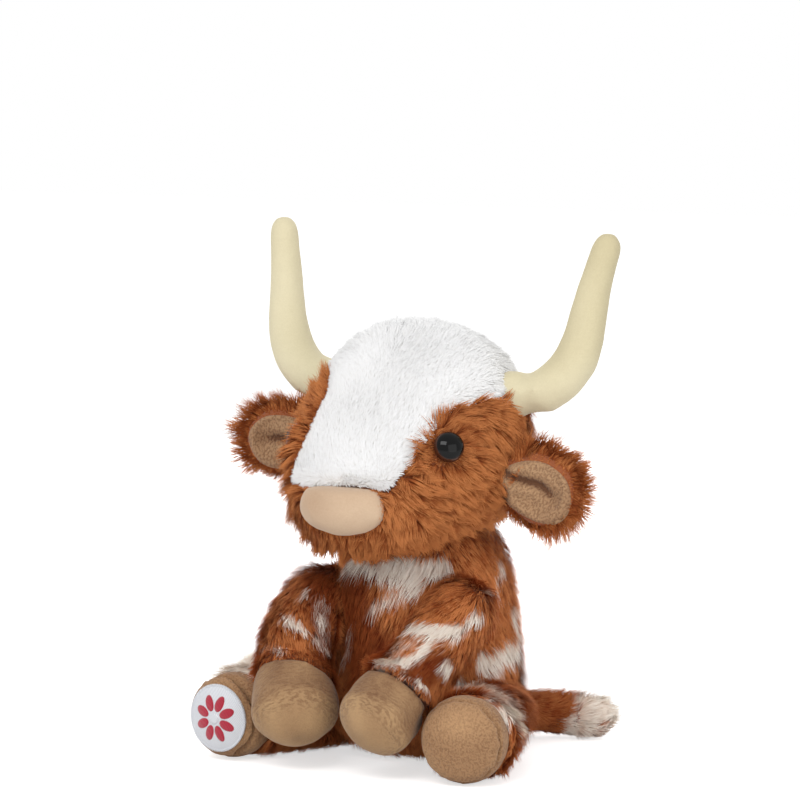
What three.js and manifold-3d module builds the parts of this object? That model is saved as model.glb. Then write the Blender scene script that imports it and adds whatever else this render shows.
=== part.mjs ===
// A sitting plush longhorn cow, about 24 cm tall to the tips of its stuffed horns. Each cut-and-sewn piece is its
// own solid: fur-cloth skins with their stuffing inside, short-pile hooves and ear linings, stuffed horns, plastic
// eyes on washers, and limbs that turn in rounded sockets where the real toy flexes at its seams.
// The cow looks along -Y, +X is its left and +Z is up. The origin is under the middle of the seat. Millimetres.
import * as THREE from "three";
import { mergeVertices } from "three/addons/utils/BufferGeometryUtils.js";
import Module from "manifold-3d";

const wasm = await Module();
wasm.setup();

// Cloth and clearances
const GAP = 0.35; // between two pieces that are sewn or pressed together
const SOCKET_GAP = 0.5; // round a ball that turns in its socket
const REST_GAP = 0.6; // between limbs that rest against each other or the torso
const FLEX_GAP = 2; // between a horn, ear or tail and the larger piece that it bends from
const MESH_TOLERANCE = 0.05; // how far a finished face may lie off the drawn form
const FUR_CLOTH = 6; // long-pile cloth: backing and pile together
const SHORT_CLOTH = 3; // short-pile cloth of the ear linings

// Torso
const TORSO_HALF_WIDTH = 48;
const TORSO_HALF_DEPTH = 45;
const SWELL_HEIGHT = 30; // where the torso is widest
const CHEST_RADIUS = 42; // the round chest that the head sits on
const CHEST_HEIGHT = 78; // its centre, where the neck turns
const UNDERSIDE_SINK = 0.5; // how deep what rests on the floor is cut flat
const SEAT_SQUARENESS = 3; // 2 is an ellipse, and more is boxier
const POUCH = { halfWidth: 15, halfLength: 21, halfHeight: 11, y: 4 }; // the pouch of beans in the seat
const POUCH_WAY_RADIUS = 4; // the parting in the stuffing that the pouch was pushed down through
const NECK_HOLE_RADIUS = 29;
const NECK_DEPTH = 10; // how far the neck stuffing reaches down from its hole's rim

// Head
const MUZZLE_FRONT = -76;
const HEAD_BACK = 44;
const MUZZLE_HALF_WIDTH = 29;
const HEAD_HALF_WIDTH = 57;
const MUZZLE_TOP = 138;
const CROWN_TOP = 202;
const MUZZLE_BOTTOM = 98;
const CHIN_BOTTOM = 92;
const HEAD_SQUARENESS = 2.13;
const MUZZLE_ROUND = 12; // length of the muzzle's rounded end
const HEAD_BACK_ROUND = 56;
const NOSE_HALF_WIDTH = 21.5;
const NOSE_HALF_HEIGHT = 12;
const NOSE_HALF_DEPTH = 11;
const NOSE_HEIGHT = 117.5;
const NOSE_SET_IN = 5; // how far its middle lies behind the muzzle's front

// White blaze, a panel let into the head
const BLAZE_FRONT_HALF_WIDTH = 24;
const BLAZE_OVER_NOSE = 10.5; // from the nose's middle up to the panel's straight seam
const BLAZE_EDGE_HEIGHT = NOSE_HEIGHT + BLAZE_OVER_NOSE;
const BLAZE_HORN_HALF_WIDTH = 55;
const BLAZE_HORN_Y = -12; // where it is widest, between the horns
const BLAZE_BACK = 36; // its rounded end on the back of the head
const CUT_PAST = 20; // how far a cutting form reaches past what it cuts

// Eyes
const EYE_RADIUS = 6;
const EYE_HEIGHT = 4.6;
const EYE_SHANK_RADIUS = 2;
const EYE_WASHER_RADIUS = 6.5;
const EYE_WASHER_THICKNESS = 1.5;
const EYE_BED = 2.2; // how deep the eye presses into the pile
const EYE_Y = -46;
const EYE_ANGLE = 26; // degrees up round the head's section from its side

// Horns
const HORN_ROOT_RADIUS = 12;
const HORN_ELBOW_RADIUS = 11;
const HORN_TIP_RADIUS = 7.6;
const HORN_Y = -3;
const HORN_ANGLE = 21;
const HORN_INSET = 3.5;
const HORN_REACH = { left: 38, right: 38 }; // from its root out to its tip
const HORN_RISE = { left: 72.5, right: 75 }; // from its root up to its tip
const HORN_LEAN_BACK = 19;
// The points that its centre line passes, as shares of its reach, its lean and its rise
const HORN_SPINE = {
  left: [[0.34, 0.07, 0.02], [0.69, 0.22, 0.16], [0.79, 0.42, 0.32], [0.82, 0.62, 0.51], [0.86, 0.78, 0.68], [0.95, 0.93, 0.86]],
  right: [[0.22, 0.07, 0.02], [0.48, 0.18, 0.1], [0.68, 0.38, 0.23], [0.79, 0.55, 0.38], [0.84, 0.7, 0.55], [0.9, 0.82, 0.7]],
};

// Ears
const EAR_LENGTH = 37;
const EAR_HALF_HEIGHT = { left: 20, right: 18 };
const EAR_HALF_THICKNESS = 8;
const EAR_ROOT_RADIUS = 8;
const EAR_SET_IN = 3; // how far the leaf's end reaches into the head's pile
const EAR_RIM = 4.5; // width of the furry edge round the lining
const EAR_Y = { left: -13, right: -9 };
const EAR_ANGLE = { left: -13, right: -5 };
const EAR_SWEEP_BACK = { left: 12, right: -16 }; // degrees
const EAR_DROOP = { left: 34, right: -6 };

// Arms, which are the cow's front legs
const SHOULDER = { x: 37, y: -29, z: 71 };
const ARM_ROOT_RADIUS = 17.5;
const WRIST_RADIUS = 17;
const ARM_HOOF_RADIUS = 19.5;
const ARM_HOOF_LENGTH = 30;
const ARM_RAISE = 35; // degrees that it lifts from rest
const ARM_HOOF = { x: 23.6, y: -72.5, z: 30.5 }; // the middle of the hoof

// Legs
const HIP = { x: 37, y: -8, z: 21 };
const LEG_SPLAY = 25; // degrees that it turns outwards from rest
const LEG_ROOT_RADIUS = 20;
const LEG_RADIUS = 20;
const ANKLE = { x: 57.5, y: -56.5, z: 19.8 };
const CUFF_LENGTH = 12;
const SOLE_THICKNESS = 8;
const FOOT_OUT = { left: 0, right: 5 }; // how much further out each foot lies
const SOLE_TURN = { left: 14, right: 5 }; // degrees outwards
const PATCH_RADIUS = 14.5;
const PATCH_THICKNESS = 1.3;

// Tail
const TAIL_ROOT_RADIUS = 11.5;
const TAIL_RADIUS = 10.3;
const TAIL_ROOT = { x: 8, height: 14.5 };
const TAIL_REACH_LEFT = 51;
const TAIL_REACH_BACK = 27;
const TAIL_ROOT_ROUND = 4;
const TAIL_END_ROUND = 7;
const TAIL_TIP_LENGTH = 17;

const DEGREE = Math.PI / 180;
const point = (x, y, z) => new THREE.Vector3(x, y, z);
const mix = (a, b, share) => a + (b - a) * share;
const onSide = (place, side) => point(place.x * side, place.y, place.z);
const ofSide = (pair, side) => (side > 0 ? pair.left : pair.right);

// A value that rises from 0 to 1 like a quarter sine wave and stays there from share on.
const ease = (t, share) => Math.sin((Math.PI / 2) * Math.min(1, Math.max(0, t) / share));

// How wide a rounded end still is, at a distance from its tip.
function roundedEnd(distance, length) {
  return distance >= length ? 1 : Math.sqrt(Math.max(0, 1 - (1 - distance / length) ** 2));
}

// Distances along a form for its rings, close together in the two rounded ends.
function ringDistances(total, startRound, endRound, middleCount, endCount = 4) {
  const distances = [];
  for (let i = 1; i <= endCount; i++)
    distances.push(startRound * (1 - Math.cos((Math.PI / 2) * (i / endCount))));
  for (let i = 1; i < middleCount; i++)
    distances.push(mix(startRound, total - endRound, i / middleCount));
  for (let i = endCount; i >= 1; i--)
    distances.push(total - endRound * (1 - Math.cos((Math.PI / 2) * (i / endCount))));
  return distances;
}

// A ring of points round a centre, along two directions. Power 2 makes an ellipse, and more makes it boxier.
function ring(centre, across, up, halfAcross, halfUp, sides, power = 2) {
  const bulge = (value) => Math.sign(value) * Math.abs(value) ** (2 / power);
  return Array.from({ length: sides }, (_, i) => {
    const angle = (2 * Math.PI * i) / sides;
    return centre
      .clone()
      .addScaledVector(across, halfAcross * bulge(Math.cos(angle)))
      .addScaledVector(up, halfUp * bulge(Math.sin(angle)));
  });
}

// A three.js geometry as a solid that can be joined and cut.
function solid(geometry) {
  const bare = new THREE.BufferGeometry();
  bare.setAttribute("position", geometry.getAttribute("position").clone());
  if (geometry.index) bare.setIndex(geometry.index.clone());
  const merged = mergeVertices(bare, 1e-4);
  const triVerts = new Uint32Array(merged.index.array);
  const made = new wasm.Manifold(
    new wasm.Mesh({ numProp: 3, vertProperties: merged.attributes.position.array, triVerts }),
  );
  if (made.volume() >= 0) return made;
  for (let i = 0; i < triVerts.length; i += 3)
    [triVerts[i + 1], triVerts[i + 2]] = [triVerts[i + 2], triVerts[i + 1]];
  return new wasm.Manifold(
    new wasm.Mesh({ numProp: 3, vertProperties: merged.attributes.position.array, triVerts }),
  );
}

// A closed skin over rings of points, with a point at each end.
function closedSkin(rings, startTip, endTip) {
  const sides = rings[0].length;
  const points = [...rings.flat(), startTip, endTip];
  const faces = [];
  const start = points.length - 2;
  const last = (rings.length - 1) * sides;
  for (let side = 0; side < sides; side++) {
    const next = (side + 1) % sides;
    for (let r = 0; r + 1 < rings.length; r++) {
      const near = r * sides;
      const far = near + sides;
      faces.push(near + side, near + next, far + next, near + side, far + next, far + side);
    }
    faces.push(start, next, side, start + 1, last + side, last + next);
  }
  const geometry = new THREE.BufferGeometry().setFromPoints(points);
  geometry.setIndex(faces);
  return solid(geometry);
}

// A stuffed limb along a curve, with rounded ends. radiusAt gives its radius at a share of its length.
function limb(points, radiusAt, { startRound, endRound, sides = 16, middleCount = 5, grow = 0, endCount = 3 }) {
  const curve = new THREE.CatmullRomCurve3(points, false, "centripetal");
  const length = curve.getLength();
  const side = point(1, 0, 0);
  const at = (distance) => {
    const along = mix(-grow, length + grow, distance / length);
    const share = Math.min(1, Math.max(0, along / length));
    const tangent = curve.getTangentAt(share);
    const past = along - share * length;
    return { centre: curve.getPointAt(share).addScaledVector(tangent, past), tangent };
  };
  const rings = ringDistances(length, startRound, endRound, middleCount, endCount).map((distance) => {
    const { centre, tangent } = at(distance);
    const up = tangent.clone().cross(side).normalize();
    const across = up.clone().cross(tangent).normalize();
    const ends = roundedEnd(distance, startRound) * roundedEnd(length - distance, endRound);
    const radius = (radiusAt(distance / length) + grow) * ends;
    return ring(centre, across, up, radius, radius, sides);
  });
  return closedSkin(rings, at(0).centre, at(length).centre);
}

function ball(centre, radius, segments = 14) {
  const geometry = new THREE.SphereGeometry(radius, segments, Math.round(segments * 0.7));
  return solid(geometry.translate(centre.x, centre.y, centre.z));
}

// The room that a ball turns in
const socket = (centre, radius) => ball(centre, radius + SOCKET_GAP, 18);

function ellipsoid(centre, halfX, halfY, halfZ, segments = 18) {
  const geometry = new THREE.SphereGeometry(1, segments, Math.round(segments * 0.7));
  return solid(geometry.scale(halfX, halfY, halfZ).translate(centre.x, centre.y, centre.z));
}

// A round bar or disc from one point towards another.
function bar(from, direction, radius, length, segments = 16) {
  const geometry = new THREE.CylinderGeometry(radius, radius, length, segments);
  const turn = new THREE.Quaternion().setFromUnitVectors(point(0, 1, 0), direction);
  const middle = from.clone().addScaledVector(direction, length / 2);
  return solid(geometry.applyQuaternion(turn).translate(middle.x, middle.y, middle.z));
}

// What of a solid lies on the side of a plane that its normal points to.
const keepAhead = (made, normal, at) => made.trimByPlane([normal.x, normal.y, normal.z], normal.dot(at));
const keepBehind = (made, normal, at) => keepAhead(made, normal.clone().negate(), at);
const keepAboveFloor = (made) => keepAhead(made, point(0, 0, 1), point(0, 0, 0));

// Torso: a ball for a chest, above a seat that swells and is rounded under
function torsoForm(grow = 0, sides = 24) {
  const levels = [];
  const bottom = -UNDERSIDE_SINK;
  const seatLevels = 4;
  for (let i = 1; i <= seatLevels; i++) {
    const share = 1 - Math.cos((Math.PI / 2) * (i / seatLevels));
    levels.push(mix(bottom, SWELL_HEIGHT, share));
  }
  const flankLevels = 3;
  for (let i = 1; i <= flankLevels; i++) levels.push(mix(SWELL_HEIGHT, CHEST_HEIGHT, i / flankLevels));
  const sizeAt = (z) => {
    if (z <= SWELL_HEIGHT) {
      const under = (SWELL_HEIGHT - z) / (SWELL_HEIGHT - bottom);
      const share = Math.max(0, 1 - under ** SEAT_SQUARENESS) ** (1 / SEAT_SQUARENESS);
      return [TORSO_HALF_WIDTH * share, TORSO_HALF_DEPTH * share];
    }
    const share = (z - SWELL_HEIGHT) / (CHEST_HEIGHT - SWELL_HEIGHT);
    const smooth = share * share * (3 - 2 * share);
    return [mix(TORSO_HALF_WIDTH, CHEST_RADIUS, smooth), mix(TORSO_HALF_DEPTH, CHEST_RADIUS, smooth)];
  };
  const total = CHEST_HEIGHT + CHEST_RADIUS - bottom;
  const height = (z) => mix(bottom - grow, CHEST_HEIGHT + CHEST_RADIUS + grow, (z - bottom) / total);
  const rings = levels.map((z) => {
    const [halfWidth, halfDepth] = sizeAt(z);
    return ring(point(0, 0, height(z)), point(1, 0, 0), point(0, 1, 0), halfWidth + grow, halfDepth + grow, sides);
  });
  const domeLevels = 5;
  for (let i = 1; i < domeLevels; i++) {
    const angle = (Math.PI / 2) * (i / domeLevels);
    const radius = (CHEST_RADIUS + grow) * Math.cos(angle);
    const z = height(CHEST_HEIGHT) + (CHEST_RADIUS + grow) * Math.sin(angle);
    rings.push(ring(point(0, 0, z), point(1, 0, 0), point(0, 1, 0), radius, radius, sides));
  }
  return closedSkin(rings, point(0, 0, bottom - grow), point(0, 0, CHEST_HEIGHT + CHEST_RADIUS + grow));
}

// Head: sections along Y, from a blunt muzzle to a broad round skull
function headSection(y) {
  const t = (y - MUZZLE_FRONT) / (HEAD_BACK - MUZZLE_FRONT);
  const top = mix(MUZZLE_TOP, CROWN_TOP, ease(t, 0.62) ** 1.35);
  const bottom = mix(MUZZLE_BOTTOM, CHIN_BOTTOM, ease(t, 0.35));
  const ends = roundedEnd(y - MUZZLE_FRONT, MUZZLE_ROUND) * roundedEnd(HEAD_BACK - y, HEAD_BACK_ROUND);
  return {
    middle: (top + bottom) / 2,
    halfHeight: (top - bottom) / 2,
    halfWidth: mix(MUZZLE_HALF_WIDTH, HEAD_HALF_WIDTH, ease(t, 0.6)),
    ends,
  };
}

function headForm(grow = 0, sides = 26, endCount = 4) {
  const length = HEAD_BACK - MUZZLE_FRONT;
  const place = (distance) => mix(MUZZLE_FRONT - grow, HEAD_BACK + grow, distance / length);
  const rings = ringDistances(length, MUZZLE_ROUND, HEAD_BACK_ROUND, 5, endCount).map((distance) => {
    const section = headSection(MUZZLE_FRONT + distance);
    const centre = point(0, place(distance), section.middle);
    const halfWidth = (section.halfWidth + grow) * section.ends;
    const halfHeight = (section.halfHeight + grow) * section.ends;
    return ring(centre, point(1, 0, 0), point(0, 0, 1), halfWidth, halfHeight, sides, HEAD_SQUARENESS);
  });
  const tip = (distance) =>
    point(0, place(distance), headSection(MUZZLE_FRONT + distance).middle);
  return closedSkin(rings, tip(0), tip(length));
}

// A point on the head, and the direction that its surface faces there. Angle 0 is the side and 90 the top.
function onHead(y, angle, side) {
  const surface = (atY, atAngle) => {
    const section = headSection(atY);
    const bulge = (value) => Math.sign(value) * Math.abs(value) ** (2 / HEAD_SQUARENESS);
    const x = side * section.halfWidth * section.ends * bulge(Math.cos(atAngle * DEGREE));
    const z = section.middle + section.halfHeight * section.ends * bulge(Math.sin(atAngle * DEGREE));
    return point(x, atY, z);
  };
  const at = surface(y, angle);
  const alongY = surface(y + 0.5, angle).sub(surface(y - 0.5, angle));
  const round = surface(y, angle + 0.5).sub(surface(y, angle - 0.5));
  const normal = alongY.cross(round).normalize();
  if (normal.x * side < 0) normal.negate();
  return { at, normal };
}

// The upright prism that cuts the blaze out of the head's skin. Its outline is drawn from above.
function blazePrism(grow = 0) {
  const half = [
    [BLAZE_FRONT_HALF_WIDTH, MUZZLE_FRONT - CUT_PAST],
    [BLAZE_FRONT_HALF_WIDTH, MUZZLE_FRONT + NOSE_SET_IN],
    [mix(BLAZE_FRONT_HALF_WIDTH, BLAZE_HORN_HALF_WIDTH, 0.35), mix(MUZZLE_FRONT, BLAZE_HORN_Y, 0.4)],
    [mix(BLAZE_FRONT_HALF_WIDTH, BLAZE_HORN_HALF_WIDTH, 0.63), mix(MUZZLE_FRONT, BLAZE_HORN_Y, 0.68)],
    [BLAZE_HORN_HALF_WIDTH, BLAZE_HORN_Y],
  ].map(([x, y]) => [x + grow, y]);
  const backSteps = 6;
  for (let i = 1; i < backSteps; i++) {
    const angle = (Math.PI / 2) * (i / backSteps);
    const x = (BLAZE_HORN_HALF_WIDTH + grow) * Math.cos(angle);
    half.push([x, mix(BLAZE_HORN_Y, BLAZE_BACK + grow, Math.sin(angle))]);
  }
  const outline = new THREE.Shape();
  outline.moveTo(half[0][0], half[0][1]);
  for (const [x, y] of half.slice(1)) outline.lineTo(x, y);
  outline.lineTo(0, BLAZE_BACK + grow);
  for (const [x, y] of half.reverse()) outline.lineTo(-x, y);
  const height = CROWN_TOP + CUT_PAST - BLAZE_EDGE_HEIGHT;
  const geometry = new THREE.ExtrudeGeometry(outline, { depth: height, bevelEnabled: false });
  return solid(geometry.translate(0, 0, BLAZE_EDGE_HEIGHT - grow));
}

const neck = point(0, 0, CHEST_HEIGHT);
const noseMiddle = point(0, MUZZLE_FRONT + NOSE_SET_IN, NOSE_HEIGHT);
const noseForm = (grow = 0) =>
  ellipsoid(noseMiddle, NOSE_HALF_WIDTH + grow, NOSE_HALF_DEPTH + grow, NOSE_HALF_HEIGHT + grow, 20);

// Horn: out of the head's upper corner, round an elbow and up to a blunt tip
function hornRoot(side) {
  const { at, normal } = onHead(HORN_Y, HORN_ANGLE, side);
  return at.addScaledVector(normal, -HORN_INSET);
}

function hornForm(side) {
  const root = hornRoot(side);
  const reach = ofSide(HORN_REACH, side);
  const rise = ofSide(HORN_RISE, side);
  const along = (out, back, up) =>
    root.clone().add(point(side * reach * out, HORN_LEAN_BACK * back, rise * up));
  const spine = [root, ...ofSide(HORN_SPINE, side).map((shares) => along(...shares)), along(1, 1, 1)];
  const radiusAt = (t) =>
    t < 0.35
      ? mix(HORN_ROOT_RADIUS, HORN_ELBOW_RADIUS, t / 0.35)
      : mix(HORN_ELBOW_RADIUS, HORN_TIP_RADIUS, ease(t - 0.35, 0.65));
  return limb(spine, radiusAt, { startRound: 3, endRound: HORN_TIP_RADIUS, sides: 14, middleCount: 8 });
}

function horn(side) {
  const clear = headForm(FLEX_GAP);
  return hornForm(side).subtract(clear).add(ball(hornRoot(side), HORN_ROOT_RADIUS));
}

const earRoot = (side) => onHead(ofSide(EAR_Y, side), ofSide(EAR_ANGLE, side), side);

// Ear: a cupped leaf on a short root, with a short-pile lining in its open front
function earFrame(side) {
  const { at } = earRoot(side);
  const turn = new THREE.Matrix4().makeRotationZ(ofSide(EAR_SWEEP_BACK, side) * DEGREE);
  turn.multiply(new THREE.Matrix4().makeRotationY(ofSide(EAR_DROOP, side) * DEGREE));
  const mirror = new THREE.Matrix4().makeScale(side, 1, 1);
  return new THREE.Matrix4().makeTranslation(at.x, at.y, at.z).multiply(mirror).multiply(turn);
}

// A part of the ear, made with its root at the origin and its tip along +X, put in its place.
function placedOnEar(side, geometry) {
  const placed = geometry.applyMatrix4(earFrame(side));
  return solid(placed);
}

function earLeaf(side, margin, forward, thickness) {
  const halfLength = EAR_LENGTH / 2 - margin;
  const geometry = new THREE.SphereGeometry(1, 18, 10);
  geometry.scale(halfLength, thickness, ofSide(EAR_HALF_HEIGHT, side) - margin);
  return placedOnEar(side, geometry.translate(EAR_LENGTH / 2 - EAR_SET_IN, -forward, 0));
}

function earStem(side) {
  const length = EAR_LENGTH / 2 - EAR_SET_IN;
  const geometry = new THREE.CylinderGeometry(EAR_ROOT_RADIUS * 1.3, EAR_ROOT_RADIUS, length, 14);
  geometry.rotateZ(-Math.PI / 2).scale(1, 0.75, 1).translate(length / 2, 0, 0);
  return placedOnEar(side, geometry);
}

function ear(side) {
  const root = earRoot(side).at;
  const leaf = earLeaf(side, 0, 0, EAR_HALF_THICKNESS).add(earStem(side));
  const hollow = earLeaf(side, EAR_RIM, EAR_HALF_THICKNESS, EAR_HALF_THICKNESS + 1);
  return leaf.subtract(headForm(FLEX_GAP)).add(ball(root, EAR_ROOT_RADIUS, 12)).subtract(hollow);
}

function earLining(side) {
  const bed = earLeaf(side, EAR_RIM + GAP, EAR_HALF_THICKNESS, EAR_HALF_THICKNESS + 1 - GAP);
  const cup = earLeaf(side, EAR_RIM + 1.5, EAR_HALF_THICKNESS + SHORT_CLOTH, EAR_HALF_THICKNESS + 1);
  const { at, normal } = earRoot(side);
  const front = point(0, -1, 0).transformDirection(earFrame(side));
  const middle = point(EAR_LENGTH / 2, 0, 0).applyMatrix4(earFrame(side));
  const rim = middle.addScaledVector(front, EAR_HALF_THICKNESS * 0.75);
  const clearOfHead = at.clone().addScaledVector(normal, FLEX_GAP);
  return keepAhead(keepBehind(bed.subtract(cup), front, rim), normal, clearOfHead);
}

// Eye: a glossy dome on a shank that a washer locks from inside the head
function eyeParts(side) {
  const { at, normal } = onHead(EYE_Y, EYE_ANGLE, side);
  const seat = at.clone().addScaledVector(normal, -EYE_BED);
  const inward = normal.clone().negate();
  const washerDepth = FUR_CLOTH - EYE_BED + GAP * 2;
  const shankLength = washerDepth + EYE_WASHER_THICKNESS + 2;
  const turn = new THREE.Quaternion().setFromUnitVectors(point(0, 1, 0), normal);
  const profile = [new THREE.Vector2(0, -shankLength), new THREE.Vector2(EYE_SHANK_RADIUS, -shankLength)];
  profile.push(new THREE.Vector2(EYE_SHANK_RADIUS, 0));
  const steps = 4;
  for (let i = 0; i <= steps; i++) {
    const angle = (Math.PI / 2) * (i / steps);
    profile.push(new THREE.Vector2(EYE_RADIUS * Math.cos(angle), 0.8 + EYE_HEIGHT * Math.sin(angle)));
  }
  profile.splice(3, 0, new THREE.Vector2(EYE_RADIUS, 0));
  profile[profile.length - 1].x = 0;
  const lathe = new THREE.LatheGeometry(profile, 18).applyQuaternion(turn);
  const eye = solid(lathe.translate(seat.x, seat.y, seat.z));
  const washerAt = seat.clone().addScaledVector(inward, washerDepth);
  const washer = bar(washerAt, inward, EYE_WASHER_RADIUS, EYE_WASHER_THICKNESS).subtract(
    bar(washerAt.clone().addScaledVector(normal, 1), inward, EYE_SHANK_RADIUS + GAP, 5, 16),
  );
  const bed = bar(seat, normal, EYE_RADIUS + GAP, 2 * EYE_RADIUS);
  const bore = bar(seat.clone().addScaledVector(normal, 1), inward, EYE_SHANK_RADIUS + GAP, shankLength + 2, 16);
  const pocketDepth = EYE_WASHER_THICKNESS + 2 * GAP;
  const pocketAt = washerAt.clone().addScaledVector(normal, GAP);
  const pocket = bar(pocketAt, inward, EYE_WASHER_RADIUS + GAP, pocketDepth);
  return { eye, washer, room: bed.add(bore).add(pocket) };
}

// What of a form stays clear of an obstacle while a joint turns the form from rest to its far limit.
function clearWhileTurning(form, obstacle, pivot, axis, degrees, steps = 4) {
  for (let i = 0; i <= steps; i++) {
    const turn = new THREE.Matrix4().makeRotationAxis(axis, (-degrees * DEGREE * i) / steps);
    const about = new THREE.Matrix4().makeTranslation(pivot.x, pivot.y, pivot.z).multiply(turn);
    about.multiply(new THREE.Matrix4().makeTranslation(-pivot.x, -pivot.y, -pivot.z));
    form = form.subtract(obstacle.transform(about.toArray()));
  }
  return form;
}

// Arm: a furry sleeve from a round shoulder to a short-pile hoof
function armForm(side) {
  const shoulder = onSide(SHOULDER, side);
  const hoof = onSide(ARM_HOOF, side);
  const elbow = shoulder.clone().lerp(hoof, 0.5).add(point(3.5 * side, -2, 2));
  const tip = hoof.clone().addScaledVector(hoof.clone().sub(elbow).normalize(), ARM_HOOF_RADIUS);
  const radiusAt = (t) =>
    t < 0.5
      ? mix(ARM_ROOT_RADIUS, WRIST_RADIUS, ease(t, 0.5))
      : mix(WRIST_RADIUS, ARM_HOOF_RADIUS, ease(t - 0.5, 0.25));
  const ends = { startRound: 4, endRound: ARM_HOOF_RADIUS, endCount: 4 };
  return limb([shoulder, elbow, hoof, tip], radiusAt, ends);
}

function armParts(side) {
  const shoulder = onSide(SHOULDER, side);
  const hoof = onSide(ARM_HOOF, side);
  const along = hoof.clone().sub(shoulder).normalize();
  const wrist = hoof.clone().addScaledVector(along, ARM_HOOF_RADIUS - ARM_HOOF_LENGTH);
  const raise = point(-1, 0, 0);
  const clearOf = (form, obstacle) => clearWhileTurning(form, obstacle, shoulder, raise, ARM_RAISE);
  const form = clearOf(clearOf(armForm(side), torsoForm(REST_GAP)), legForm(side, REST_GAP));
  return {
    sleeve: keepBehind(form, along, wrist.clone().addScaledVector(along, -GAP)).add(ball(shoulder, ARM_ROOT_RADIUS)),
    hoof: keepAhead(form, along, wrist),
  };
}

// Leg: a furry sleeve, a tan cuff and a padded round sole
function legLine(side) {
  const hip = onSide(HIP, side);
  const ankle = onSide(ANKLE, side).add(point(ofSide(FOOT_OUT, side) * side, 0, 0));
  const turn = ofSide(SOLE_TURN, side) * DEGREE;
  const facing = point(Math.sin(turn) * side, -Math.cos(turn), 0);
  return { hip, ankle, facing, soleBack: ankle.clone().addScaledVector(facing, CUFF_LENGTH) };
}

function legForm(side, grow = 0) {
  const { hip, ankle, facing, soleBack } = legLine(side);
  const soleFront = soleBack.clone().addScaledVector(facing, SOLE_THICKNESS);
  const radiusAt = (t) => mix(LEG_ROOT_RADIUS, LEG_RADIUS, ease(t, 0.8));
  const spine = [hip, hip.clone().lerp(ankle, 0.5), ankle, soleFront];
  return keepAboveFloor(limb(spine, radiusAt, { startRound: 4, endRound: SOLE_THICKNESS, sides: 20, grow }));
}

function legParts(side) {
  const { hip, ankle, facing, soleBack } = legLine(side);
  const form = clearWhileTurning(legForm(side), torsoForm(REST_GAP), hip, point(0, 0, side), LEG_SPLAY, 2);
  const sleeve = keepBehind(form, facing, ankle.clone().addScaledVector(facing, -GAP));
  const patchArea = bar(soleBack, facing, PATCH_RADIUS, SOLE_THICKNESS + CUT_PAST, 24);
  const patch = legForm(side, PATCH_THICKNESS + GAP).subtract(legForm(side, GAP)).intersect(patchArea);
  return {
    sleeve: keepAboveFloor(sleeve.add(ball(hip, LEG_ROOT_RADIUS))),
    cuff: keepBehind(keepAhead(form, facing, ankle), facing, soleBack.clone().addScaledVector(facing, -GAP)),
    sole: keepAhead(form, facing, soleBack),
    patch: keepAhead(patch, facing, soleBack.clone().addScaledVector(facing, SOLE_THICKNESS * 0.4)),
  };
}

// Tail: a soft tube that lies on the floor, with a white end
function tailParts() {
  const root = point(TAIL_ROOT.x, TORSO_HALF_DEPTH - 2, TAIL_ROOT.height);
  const end = point(root.x + TAIL_REACH_LEFT, root.y + TAIL_REACH_BACK, TAIL_RADIUS - UNDERSIDE_SINK);
  const middle = root.clone().lerp(end, 0.5).add(point(-3, 3, 0));
  const radiusAt = (t) => mix(TAIL_ROOT_RADIUS, TAIL_RADIUS, ease(t, 0.5));
  const form = keepAboveFloor(
    limb([root, middle, end], radiusAt, { startRound: TAIL_ROOT_ROUND, endRound: TAIL_END_ROUND, sides: 14, middleCount: 4 }),
  ).subtract(torsoForm(FLEX_GAP));
  const along = end.clone().sub(middle).normalize();
  const seam = end.clone().addScaledVector(along, -TAIL_TIP_LENGTH);
  return {
    root,
    sleeve: keepBehind(form, along, seam.clone().addScaledVector(along, -GAP)).add(ball(root, TAIL_ROOT_RADIUS)),
    tip: keepAhead(form, along, seam),
  };
}

// What turns in the torso and the head, as balls with room to turn
const sides = { left: 1, right: -1 };
const tail = tailParts();
let torsoRoom = socket(tail.root, TAIL_ROOT_RADIUS);
const noseRoom = keepBehind(noseForm(GAP), point(0, 0, 1), point(0, 0, BLAZE_EDGE_HEIGHT));
let headRoom = ball(neck, CHEST_RADIUS + SOCKET_GAP, 28).add(noseRoom);
const eyes = {};
for (const [name, side] of Object.entries(sides)) {
  torsoRoom = torsoRoom
    .add(socket(onSide(SHOULDER, side), ARM_ROOT_RADIUS))
    .add(socket(onSide(HIP, side), LEG_ROOT_RADIUS));
  eyes[name] = eyeParts(side);
  headRoom = headRoom
    .add(socket(hornRoot(side), HORN_ROOT_RADIUS))
    .add(socket(earRoot(side).at, EAR_ROOT_RADIUS))
    .add(eyes[name].room);
}

// Torso pieces, from the skin inwards
const neckHoleTop = CHEST_HEIGHT + Math.sqrt(CHEST_RADIUS ** 2 - NECK_HOLE_RADIUS ** 2);
const neckFloor = point(0, 0, neckHoleTop - NECK_DEPTH);
const neckHole = bar(neckFloor, point(0, 0, 1), NECK_HOLE_RADIUS, CHEST_RADIUS, 24);
const neckPlug = bar(neckFloor, point(0, 0, 1), NECK_HOLE_RADIUS - GAP, CHEST_RADIUS, 24);
const torsoSkin = keepAboveFloor(torsoForm().subtract(torsoForm(-FUR_CLOTH, 18))).subtract(torsoRoom).subtract(neckHole);
const pouchMiddle = point(0, POUCH.y, FUR_CLOTH + POUCH.halfHeight + 2);
const pouchForm = (grow) =>
  ellipsoid(pouchMiddle, POUCH.halfWidth + grow, POUCH.halfLength + grow, POUCH.halfHeight + grow, 14);
const pouchWay = bar(pouchMiddle, point(0, 0, 1), POUCH_WAY_RADIUS, neckHoleTop, 10);
const torsoStuffing = torsoForm(-FUR_CLOTH - GAP, 18)
  .subtract(torsoRoom)
  .subtract(neckHole)
  .subtract(pouchForm(GAP))
  .subtract(pouchWay);
const neckStuffing = torsoForm().intersect(neckPlug);

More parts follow.
